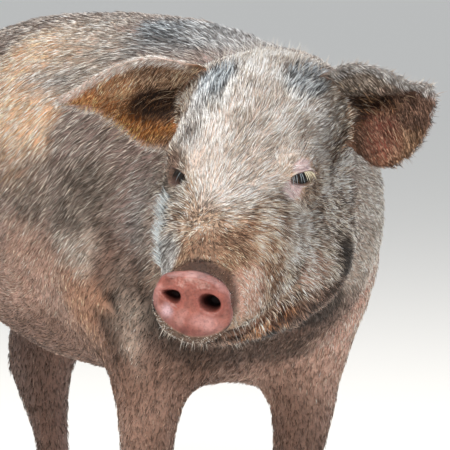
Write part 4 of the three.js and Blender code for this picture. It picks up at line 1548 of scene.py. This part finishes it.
    def clumps(self, root: Array) -> Array:
        """Finds for each root the middle tuft of the clump that it hangs together with."""
        tree = KDTree(len(root) // self.clump + 1)
        for i in range(0, len(root), self.clump):
            tree.insert(root[i], i)
        tree.balance()
        return np.array([tree.find(spot)[1] for spot in root], dtype=int)

    def colour(self, root: Array, at: Roots, group: Array, rng: Rng) -> Array:
        """Chooses each tuft's colour from the markings, darker at its root as painted shade within the coat,
        paler at its tip.

        Args:
            root: the tufts' roots.
            at: where they are on the skin.
            group: each tuft's clump.
            rng: the seeded random numbers.

        Returns:
            For each tuft, the linear colours of its five vertices.
        """
        tones = self.hide.tones
        share, on_face = at.read(tones["share"]), at.read(self.face)
        cloudy = Cloud(self.seed + 64, 16 * MM).at(root) + Cloud(self.seed + 65, 7 * MM).at(root) - 1.0
        cloudy *= 0.2 + 0.35 * on_face
        chance = 0.8 * rng.random(len(root)) + 0.2 * rng.random(len(root))[group] + cloudy
        dark = ramp(share - chance, -0.12, 0.12)[:, None]
        tone = at.read(tones["pale"]) * (1 - dark) + at.read(tones["dark"]) * dark
        vary = rng.normal(0.0, 0.3, len(root)) + rng.normal(0.0, 0.08, len(root))[group] + cloudy
        tone *= np.exp(vary)[:, None]
        # Roots painted darker for the shade deep in the coat, tips paler; stronger on the face.
        flat, deep = np.array([[0.34, 0.84, 0.84, 1.0, 1.25], [0.22, 0.76, 0.76, 1.0, 1.38]])
        fade = flat + (deep - flat) * on_face[:, None]
        return tone[:, None, :] * fade[:, :, None]

    def joined(self, name: str, corners: Array, order: Array, colours: Array, uv: Array) -> Object:
        """Joins many like tufts into one mesh.

        Args:
            name: the piece's name.
            corners: for each tuft, its vertices.
            order: the triangles of one tuft.
            colours: for each tuft and vertex, a linear colour.
            uv: for each tuft and vertex, its place on the OFBake map.

        Returns:
            The piece's object.
        """
        count, each = corners.shape[:2]
        triangles = (np.arange(count)[:, None, None] * each + order).reshape(-1, 3)
        mesh = bpy.data.meshes.new(name)
        mesh.vertices.add(count * each)
        mesh.vertices.foreach_set("co", corners.astype(np.float32).ravel())
        mesh.loops.add(len(triangles) * 3)
        mesh.loops.foreach_set("vertex_index", triangles.astype(np.int32).ravel())
        mesh.polygons.add(len(triangles))
        mesh.polygons.foreach_set("loop_start", np.arange(0, len(triangles) * 3, 3, dtype=np.int32))
        mesh.update(calc_edges=True)
        write_tone(mesh, colours.reshape(-1, 3))
        layer = mesh.uv_layers.new(name="OFBake")
        flat = uv.reshape(-1, 2)[triangles.ravel()]
        layer.uv.foreach_set("vector", flat.astype(np.float32).ravel())
        mesh.shade_smooth()
        piece = mesh_object(name, mesh)
        mesh.materials.append(self.material)
        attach(piece, BODY)
        log.info("%s: %d tufts, %d triangles", name, count, len(triangles))
        return piece

    def around_body(self, points: Array) -> Array:
        """Unrolls points round the body's length: the angle about it, and the place along it."""
        away = points - middle_of("trunk") + np.array([0.0, 0.02, 0.0])
        return np.stack([turned(away[:, 0], away[:, 2]), away[:, 1] / 0.92 + 0.5], axis=1)

    def around_head(self, points: Array) -> Array:
        """Unrolls points round the head's length."""
        spots = HEAD.into(points)
        return np.stack([turned(spots[:, 0], spots[:, 2] - 15.0), (spots[:, 1] + 275.0) / 350.0], axis=1)

    def along_legs(self, points: Array) -> Array:
        """Unrolls the legs side by side: each round its own middle, and by its height."""
        middle = middle_of("trunk")
        left = points[:, 0] > middle[0]
        centre_x = middle[0] + np.where(left, 0.075, -0.075)
        low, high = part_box("foreleg_left")
        hind = points[:, 1] > middle[1]
        centre_y = np.where(hind, middle[1] + 0.25, (low[1] + high[1]) / 2)
        angle = turned(points[:, 0] - centre_x, points[:, 1] - centre_y)
        return np.stack([(angle + left + 2.0 * hind) / 4.0, points[:, 2] / 0.45], axis=1)

    def over_ears(self, points: Array) -> Array:
        """Lays each ear out flat, its two faces side by side."""
        spots = HEAD.into(points)
        flat = np.zeros((len(points), 2))
        for number, (side, ear) in enumerate(EARS.items()):
            mine = spots[:, 0] * side.value > 0
            along, across, out = ear.into(spots).T
            fore = out + along ** 2 / 420.0 > 0
            flat[mine, 0] = ((along + 30.0) / 170.0 / 4 + number / 2 + 0.25 * fore)[mine]
            flat[mine, 1] = ((across + 75.0) / 150.0)[mine]
        return flat


def body_share(coat: Coat) -> Array:
    """How much each vertex belongs to trunk, neck or tail."""
    parts = coat.hide.parts
    return ramp(parts["trunk"] + parts["neck"] + parts["tail"], 0.49, 0.51)


def stretch(low: float, high: float, side: Side | None = None) -> Callable[[Coat], Array]:
    """Returns the test for one stretch of the body, lengthways in metres, whole or on one side."""
    def belongs(coat: Coat) -> Array:
        """The share of each vertex in this stretch."""
        inside = (coat.points[:, 1] >= low) & (coat.points[:, 1] < high)
        if side:
            inside &= (coat.points[:, 0] >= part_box("trunk")[0][0] + 0.148) == (side is Side.LEFT)
        return inside * body_share(coat)
    return belongs


def of_parts(*kinds: str, side: Side | None = None) -> Callable[[Coat], Array]:
    """Returns the test for some parts, whole or only on one side of the head."""
    def belongs(coat: Coat) -> Array:
        """The share of each vertex in these parts."""
        mine = ramp(sum(coat.hide.parts[kind] for kind in kinds), 0.49, 0.51)
        return mine * ((coat.spots[:, 0] >= 0) == (side is Side.LEFT)) if side else mine
    return belongs


COAT_PIECES = (
    *(CoatPiece(f"coat_head_{side.word}", of_parts("head", "snout", "lower_jaw", side=side),
                Coat.around_head) for side in Side),
    CoatPiece("coat_ears", of_parts("ear"), Coat.over_ears),
    CoatPiece("coat_neck", stretch(-0.6, -0.185), Coat.around_body),
    *(CoatPiece(f"coat_{name}_{side.word}", stretch(low, high, side), Coat.around_body)
      for name, low, high in (("shoulder", -0.185, 0.06), ("flank", 0.06, 0.30)) for side in Side),
    CoatPiece("coat_rump", stretch(0.30, 0.7), Coat.around_body),
    CoatPiece("coat_forelegs", of_parts("foreleg"), Coat.along_legs),
    CoatPiece("coat_hindlegs", of_parts("hindleg"), Coat.along_legs),
)


@dataclass(frozen=True)
class LongHair:
    """A kind of long hair: where it grows, how many, its size in mm and how it stands.

    Each vertex of the skin gets a share of the hairs from where; way and sag, both in the
    head's frame and per hair, say how a hair sets out and where it bends.
    """

    where: Callable[[Coat], Array]
    count: int
    long: tuple[float, float]
    wide: float
    way: Way
    sag: Spot
    colours: tuple[str, ...]


@dataclass
class LongHairs:
    """Long single hairs of one piece: whiskers, brow and poll bristles, or the ears' fringes."""

    coat: Coat
    name: str
    kinds: tuple[LongHair, ...]
    unwrap: Callable[[Coat, Array], Array] = Coat.around_head
    steps: int = 5
    seed: int = 71

    def build(self) -> Object:
        """Grows the hairs and returns them as one piece."""
        rng = np.random.default_rng(self.seed)
        curves, wides, tones = [], [], []
        for kind in self.kinds:
            root, normal = self.coat.scatter(kind.where(self.coat), kind.count, rng)
            spots, out = HEAD.into(root), HEAD.turn_in(normal)
            way = unit(kind.way(spots, out) + rng.normal(0.0, 0.16, out.shape))
            long = kind.long[0] + (kind.long[1] - kind.long[0]) * rng.random(len(root))
            curves.append(self.bent(spots - out * 0.8, way, long, np.array(kind.sag)))
            wides.append(np.full(len(root), kind.wide))
            palette = np.array([linear(colour) for colour in kind.colours])
            shade = palette[rng.integers(0, len(palette), len(root))]
            tones.append(shade * np.exp(rng.normal(0.0, 0.15, len(root)))[:, None])
        return self.strung(np.concatenate(curves), np.concatenate(wides), np.concatenate(tones))

    def bent(self, spots: Array, way: Array, long: Array, sag: Array) -> Array:
        """Returns the points along each hair, in the head's frame."""
        t = np.linspace(0.0, 1.0, self.steps + 1)[None, :, None]
        return spots[:, None, :] + long[:, None, None] * (way[:, None, :] * t + sag * t * t)

    def strung(self, curves: Array, wide: Array, tone: Array) -> Object:
        """Turns curves into thin tapered three-sided hairs, joined as one mesh.

        Args:
            curves: for each hair, its points in the head's frame.
            wide: each hair's width at its root, in mm.
            tone: each hair's linear colour.

        Returns:
            The piece's object.
        """
        steps = curves.shape[1] - 1
        ahead = unit(np.gradient(curves, axis=1))
        aside = unit(np.cross(ahead, np.array([0.3, 0.2, 0.9])))
        across = np.cross(ahead, aside)
        taper = (1.0 - np.linspace(0, 1, steps + 1)[:-1] ** 1.6)[None, :, None]
        rings = []
        for turn in (0.0, 2.0944, 4.1888):
            out = aside * math.cos(turn) + across * math.sin(turn)
            rings.append(curves[:, :-1] + out[:, :-1] * taper * wide[:, None, None] / 2)
        body = np.stack(rings, axis=2).reshape(len(curves), steps * 3, 3)
        corners = HEAD.out(np.concatenate([body, curves[:, -1:]], axis=1))
        order = [[0, 2, 1]]
        for k in range(steps - 1):
            for i in range(3):
                a, b = 3 * k + i, 3 * k + (i + 1) % 3
                order += [[a, b, b + 3], [a, b + 3, a + 3]]
        last = 3 * (steps - 1)
        order += [[last + i, last + (i + 1) % 3, last + 3] for i in range(3)]
        # Each hair painted darker towards its root, as shade, and paler towards its tip.
        fade = np.append(np.repeat(np.linspace(0.7, 1.1, steps), 3), 1.15)
        colours = np.clip(tone[:, None, :] * fade[:, None], 0.0, 0.95)
        patch = self.coat.patch
        uv = np.clip(self.unwrap(self.coat, corners[:, 0]), 2 * patch, 1 - 2 * patch)
        heights = np.append(np.repeat(np.linspace(-1, 0.7, steps), 3), 1.0)
        sides = np.append(np.tile([-1.0, 1.0, 0.2], steps), 0.0)
        corner_uv = np.stack([sides * (1 - 0.4 * (heights + 1)), heights], axis=1) * patch
        return self.coat.joined(self.name, corners, np.array(order), colours, uv[:, None, :] + corner_uv)


@dataclass
class Lashes(LongHairs):
    """The lashes of both eyes, hanging from the upper lids' edges."""

    long: float = 8.5

    def build(self) -> Object:
        """Grows the lashes and returns them as one piece."""
        rng = np.random.default_rng(self.seed)
        curves, tones = [], []
        pale, dark, lash_glint = (np.array(linear(colour)) for colour in ("e6dcc0", "1e1714", "8e9aa2"))
        for side, eye in EYES.items():
            for share in np.linspace(-0.88, 0.92, 21):
                along = math.radians(share * eye.half_wide)
                arch = math.sqrt(max(0.0, 1.0 - share ** 2))
                above = math.radians(eye.above * arch + 3.0)
                out = np.array([math.cos(along) * math.cos(above), math.sin(along) * math.cos(above),
                                math.sin(above)])
                start = eye.centre + out @ eye.axes * (eye.lid - 0.2)
                way = np.array([0.62, 0.3 * share + rng.normal(0, 0.08), -0.3])
                sag = np.array([-0.2, 0.05 * share, -0.6 + rng.normal(0, 0.08)])
                long = self.long * (0.8 + 0.3 * rng.random()) * (0.6 + 0.4 * arch)
                curves.append(self.bent(start[None], unit(way)[None] @ eye.axes,
                                        np.array([long]), sag @ eye.axes)[0])
                outer = ramp(np.array([share + rng.normal(0, 0.12)]), -0.1, 0.1) * (side is Side.LEFT)
                chance = 0.4 if side is Side.LEFT else 0.15
                # Some dark lashes are painted pale blue-grey, as highlights on them; the left eye's outer
                # lashes are cream.
                tones.append(pale * outer + (1 - outer) * (lash_glint if rng.random() < chance else dark))
        return self.strung(np.array(curves), np.full(len(curves), 0.9), np.array(tones))


def near_spots(*spots: tuple[float, ...]) -> Callable[[Coat], Array]:
    """Returns the test for places near some spots of the head, each with its reach in mm."""
    def where(coat: Coat) -> Array:
        """The share of each vertex near a spot."""
        share = np.zeros(len(coat.spots))
        for x, y, z, reach in spots:
            away = length(coat.spots - np.array([x, y, z]))
            share = np.maximum(share, ramp(away, reach, 0.5 * reach))
        return share * (1 - coat.hide.bare) * ramp(coat.hide.parts["ear"], 0.4, 0.1)
    return where


def on_ears(rim: float, side: Side, low: float = -20.0, high: float = 140.0,
            under: float = 90.0) -> Callable[[Coat], Array]:
    """Returns the test for an ear's edge, or its hollow face near the ledge.

    Args:
        rim: 1 for the edge, 0 for the hollow face.
        side: which ear.
        low: where along the ear it starts, in mm.
        high: where it ends.
        under: how far below the ledge it reaches.
    """
    def where(coat: Coat) -> Array:
        """The share of each vertex in that stretch."""
        along, across, _ = EARS[side].into(coat.spots).T
        above = across - np.interp(along, *zip(*EARS[side].ledge))
        span = (along > low) & (along < high) & (above > -under) & ((rim > 0) | (above < 3.0))
        face = coat.hide.rim if rim else coat.hide.inner * (1 - coat.hide.rim)
        return face * coat.hide.ears[side] * span
    return where


def outward(lift: float, *way: float) -> Way:
    """Returns the rule for hairs that set out by the skin's normal and a common way."""
    return lambda spots, out: out * lift + np.array(way)


def from_hollow(side: Side, lift: float) -> Way:
    """Returns the rule for hairs that fan out from an ear's hollow."""
    def way(spots: Array, out: Array) -> Array:
        """The way of each hair."""
        ear = EARS[side]
        fan = unit(ear.into(spots) - np.array([ear.hollow[0] - 26, ear.hollow[1] + 8, 0.0]))
        fan[:, 2] = 0.0
        return fan @ ear.axes + out * lift
    return way


def curled_over(side: Side) -> Way:
    """Returns the rule for hairs that lean out over an ear's edge, towards its tip."""
    def way(spots: Array, out: Array) -> Array:
        """The way of each hair."""
        ear = EARS[side]
        return out * 0.75 + ear.axes[0] * 0.75 + ear.axes[2] * 0.15
    return way


PALE_HAIRS = ("e6ddd2", "d9cfc4", "f0e9e0")
LONG_HAIRS = (
    LongHair(near_spots((0, -190, -62, 40), (34, -205, -52, 26), (-30, -205, -52, 26)), 40, (9, 16), 0.42,
             outward(0.8, 0, 0.6, -0.3), (0, 0.3, -0.1), PALE_HAIRS),
    LongHair(near_spots((-22, -238, -28, 14), (-6, -242, -33, 14)), 60, (8, 14), 0.55,
             outward(0.9, -0.2, -0.4, -0.6), (0, 0.1, -0.2), PALE_HAIRS),
    LongHair(near_spots((-54, -150, 30, 13), (-51, -172, 16, 13), (-47, -194, 4, 12)), 280, (7, 13), 0.55,
             outward(0.6, -0.5, 0.4, 0.7), (-0.1, 0.1, 0.1), ("e4ecf0", "ccd6dc", "8c969c")),
    LongHair(near_spots((24, -232, -30, 16)), 20, (6, 10), 0.5, outward(0.9, 0, -0.2, -0.4),
             (0, 0.1, -0.3), PALE_HAIRS),
    LongHair(near_spots((0, -20, 125, 34), (-28, -28, 118, 30), (30, -24, 118, 30)), 200, (11, 19), 0.42,
             outward(0.55, 0, 0.75, 0.3), (0, 0.25, -0.05), PALE_HAIRS + ("8a7c70",)),
    LongHair(near_spots((60, -112, 76, 18), (-58, -118, 76, 18)), 26, (12, 20), 0.5,
             outward(0.9, 0, 0.5, 0.3), (0, 0.2, 0.0), ("3b2f28", "8a7a6c")),
)
EAR_HAIRS = tuple(
    hair for side in Side for hair in (
        LongHair(on_ears(1.0, side, 16.0, 150.0), 330, (4, 9), 0.42, curled_over(side), (0, 0, 0.05),
                 ("e6dcd0", "cbb8a8", "8d7868")),
        LongHair(on_ears(0.0, side, -10.0, 80.0, 34.0), 230, (14, 26), 0.45, from_hollow(side, 0.45),
                 (0, 0, -0.15), ("4a3426", "b08a68", "dcc0a0", "2c1c12")),
        LongHair(on_ears(0.0, side, 20.0, 150.0, 80.0), 200, (8, 15), 0.42, from_hollow(side, 0.3),
                 (0, 0, -0.1), ("b08d74", "d9c6b4", "6a4c3a")),
    ))


# ---- eyes


@dataclass
class Eyeball:
    """One eyeball with its cornea's bulge."""

    eye: EyePlace
    cornea: float = 0.55
    cornea_wide: float = 34.0

    def build(self, glaze: EyeGlaze) -> Object:
        """Makes the eyeball in its finish."""
        work = bmesh.new()
        bmesh.ops.create_uvsphere(work, u_segments=48, v_segments=32, radius=self.eye.ball * MM)
        turn = Vector(HEAD.turn_out(self.eye.axes[0])).to_track_quat("Z", "Y").to_matrix().to_4x4()
        for vertex in work.verts:
            away = math.degrees(vertex.co.angle(Vector((0, 0, 1))))
            vertex.co *= 1 + self.cornea / self.eye.ball * max(0.0, 1 - (away / self.cornea_wide) ** 2)
        bmesh.ops.transform(work, matrix=Matrix.Translation(Vector(HEAD.out(self.eye.centre))) @ turn,
                            verts=work.verts)
        piece = from_bmesh(f"eyeball_{self.eye.side.word}", work)
        piece.data.materials.append(glaze.made(self.eye))
        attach(piece, BODY)
        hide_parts(f"eye_{self.eye.side.word}")
        return piece


# ---- claws


@dataclass
class Claws:
    """The main claws and dewclaws of one foot, let into the skin above them."""

    leg: str
    side: Side
    rise: float = 6.0 * MM
    segments: int = 28
    rings: int = 18

    def build(self, horn: Material) -> list[Object]:
        """Makes the foot's four claws in their material."""
        made = []
        for position in ("inner", "outer"):
            made.append(self.claw(f"{self.leg}_{self.side.word}_claw_{position}"))
            made.append(self.dewclaw(f"{self.leg}_{self.side.word}_dewclaw_{position}"))
        for piece in made:
            piece.data.materials.append(horn)
            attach(piece, BODY)
        return made

    def claw(self, node: str) -> Object:
        """Makes one main claw: a raked half egg with a flat sole and a bevelled edge.

        Args:
            node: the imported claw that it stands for.

        Returns:
            The claw's object.
        """
        low, high = (Vector(corner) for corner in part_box(node))
        wide, long = (high.x - low.x) / 2, (high.y - low.y) / 2
        middle = Vector(((low.x + high.x) / 2, (low.y + high.y) / 2, low.z))
        work = bmesh.new()
        bmesh.ops.create_uvsphere(work, u_segments=self.segments, v_segments=self.rings, radius=1.0)
        bmesh.ops.scale(work, vec=(wide, long * 0.92, 60 * MM), verts=work.verts)
        rake = Matrix.Identity(4)
        rake[1][2] = 0.35
        bmesh.ops.transform(work, matrix=rake, verts=work.verts)
        bmesh.ops.translate(work, vec=(middle.x, middle.y - 3 * MM, 4 * MM), verts=work.verts)
        top = high.z + self.rise
        for height, direction in ((0.0, -1), (top, 1)):
            cut = bmesh.ops.bisect_plane(work, geom=work.verts[:] + work.edges[:] + work.faces[:],
                                         plane_co=(0, 0, height), plane_no=(0, 0, direction),
                                         clear_outer=True)
            rim = [edge for edge in cut["geom_cut"] if isinstance(edge, bmesh.types.BMEdge)]
            bmesh.ops.holes_fill(work, edges=rim)
            if direction < 0:
                bmesh.ops.bevel(work, geom=[edge for edge in work.edges if edge.is_boundary is False
                                            and all(v.co.z < 0.1 * MM for v in edge.verts)
                                            and len(edge.link_faces) == 2
                                            and edge.calc_face_angle(0.0) > 0.4],
                                offset=1.2 * MM, affect="EDGES", segments=2, profile=0.5, material=-1)
        bmesh.ops.recalc_face_normals(work, faces=work.faces)
        piece = from_bmesh(node + "_horn", work)
        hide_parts(node)
        return piece

    def dewclaw(self, node: str) -> Object:
        """Makes one dewclaw, for a packed one: a small blunt horn behind the foot."""
        low, high = (Vector(corner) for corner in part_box(node))
        half = (high - low) / 2
        work = bmesh.new()
        bmesh.ops.create_uvsphere(work, u_segments=16, v_segments=12, radius=1.0)
        for vertex in work.verts:
            vertex.co.y += 0.25 * (1 - vertex.co.z) * 0.4
            vertex.co.x *= 1 - 0.18 * max(0.0, -vertex.co.z)
        bmesh.ops.scale(work, vec=half * 0.95, verts=work.verts)
        bmesh.ops.translate(work, vec=(low + high) / 2, verts=work.verts)
        piece = from_bmesh(node + "_horn", work)
        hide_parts(node)
        return piece


# ---- the studio


@dataclass(frozen=True)
class Studio:
    """A pale floor, soft light from above, and the camera."""

    floor_half: float = 60.0
    azimuth: float = -26.0
    elevation: float = 5.5
    distance: float = 2.72
    aside: float = -41.7 * MM
    above: float = -38.0 * MM
    aim: Spot = tuple((HEAD.origin + np.array([-3, 0, -2]) * MM).tolist())
    lens: float = 255.8

    def build(self) -> None:
        """Makes floor, light and camera."""
        work = bmesh.new()
        bmesh.ops.create_grid(work, x_segments=2, y_segments=2, size=self.floor_half)
        floor = from_bmesh("studio_floor", work)
        floor.data.materials.append(StudioFloor().made())
        world = bpy.data.worlds.new("studio")
        world.use_nodes = True
        sky = world.node_tree.nodes["Background"]
        sky.inputs["Color"].default_value = rgba("e8edf2")
        sky.inputs["Strength"].default_value = 0.66
        bpy.context.scene.world = world
        self.panel("key", (-1.9, -1.9, 2.6), 1.2, 84.0, "fff4e6")
        self.panel("top", (0.3, 0.3, 3.0), 2.4, 60.0, "ffffff")
        self.panel("fill", (2.4, -1.6, 1.4), 2.0, 8.0, "eef4ff")
        self.camera()
        bpy.context.scene.view_settings.view_transform = "Standard"

    def panel(self, name: str, at: Spot, size: float, power: float,
              colour: str) -> None:
        """Adds one soft square light that faces the pig."""
        data = bpy.data.lights.new(name, "AREA")
        data.size, data.energy, data.color = size, power, linear(colour)
        lamp = bpy.data.objects.new(name, data)
        lamp.location = at
        aim = Vector(self.aim) - Vector(at)
        lamp.rotation_euler = aim.to_track_quat("-Z", "Y").to_euler()
        bpy.context.scene.collection.objects.link(lamp)

    def camera(self) -> None:
        """Adds the camera: low, in front of the pig's right side, looking at its face."""
        turn, lift = math.radians(self.azimuth), math.radians(self.elevation)
        back = Vector((math.sin(turn) * math.cos(lift), -math.cos(turn) * math.cos(lift), math.sin(lift)))
        facing = (-back).to_track_quat("-Z", "Y")
        aside, up = facing @ Vector((1, 0, 0)), facing @ Vector((0, 1, 0))
        data = bpy.data.cameras.new("camera")
        data.lens, data.sensor_width = self.lens, 36.0
        data.clip_end = 200.0
        camera = bpy.data.objects.new("camera", data)
        camera.location = Vector(self.aim) + aside * self.aside + up * self.above + back * self.distance
        camera.rotation_euler = facing.to_euler()
        bpy.context.scene.collection.objects.link(camera)
        bpy.context.scene.camera = camera


# ---- the whole


def main() -> None:
    """Builds the pig and its studio."""
    Studio().build()
    hide = Hide()
    skin = hide.build(Markings())
    skin.data.materials.append(LivingSkin().made())
    glaze = EyeGlaze()
    for eye in EYES.values():
        log.info("eye: %s", Eyeball(eye).build(glaze).name)
    horn = HoofHorn().made()
    for leg in ("foreleg", "hindleg"):
        for side in Side:
            for piece in Claws(leg, side).build(horn):
                log.info("claw: %s", piece.name)
    coat = Coat(hide, Bristle().made())
    for number, piece in enumerate(COAT_PIECES):
        coat.tufts(piece, number)
    LongHairs(coat, "hair_long", LONG_HAIRS).build()
    LongHairs(coat, "hair_ears", EAR_HAIRS, Coat.over_ears).build()
    Lashes(coat, "lashes", ()).build()


if __name__ == "__main__":
    main()
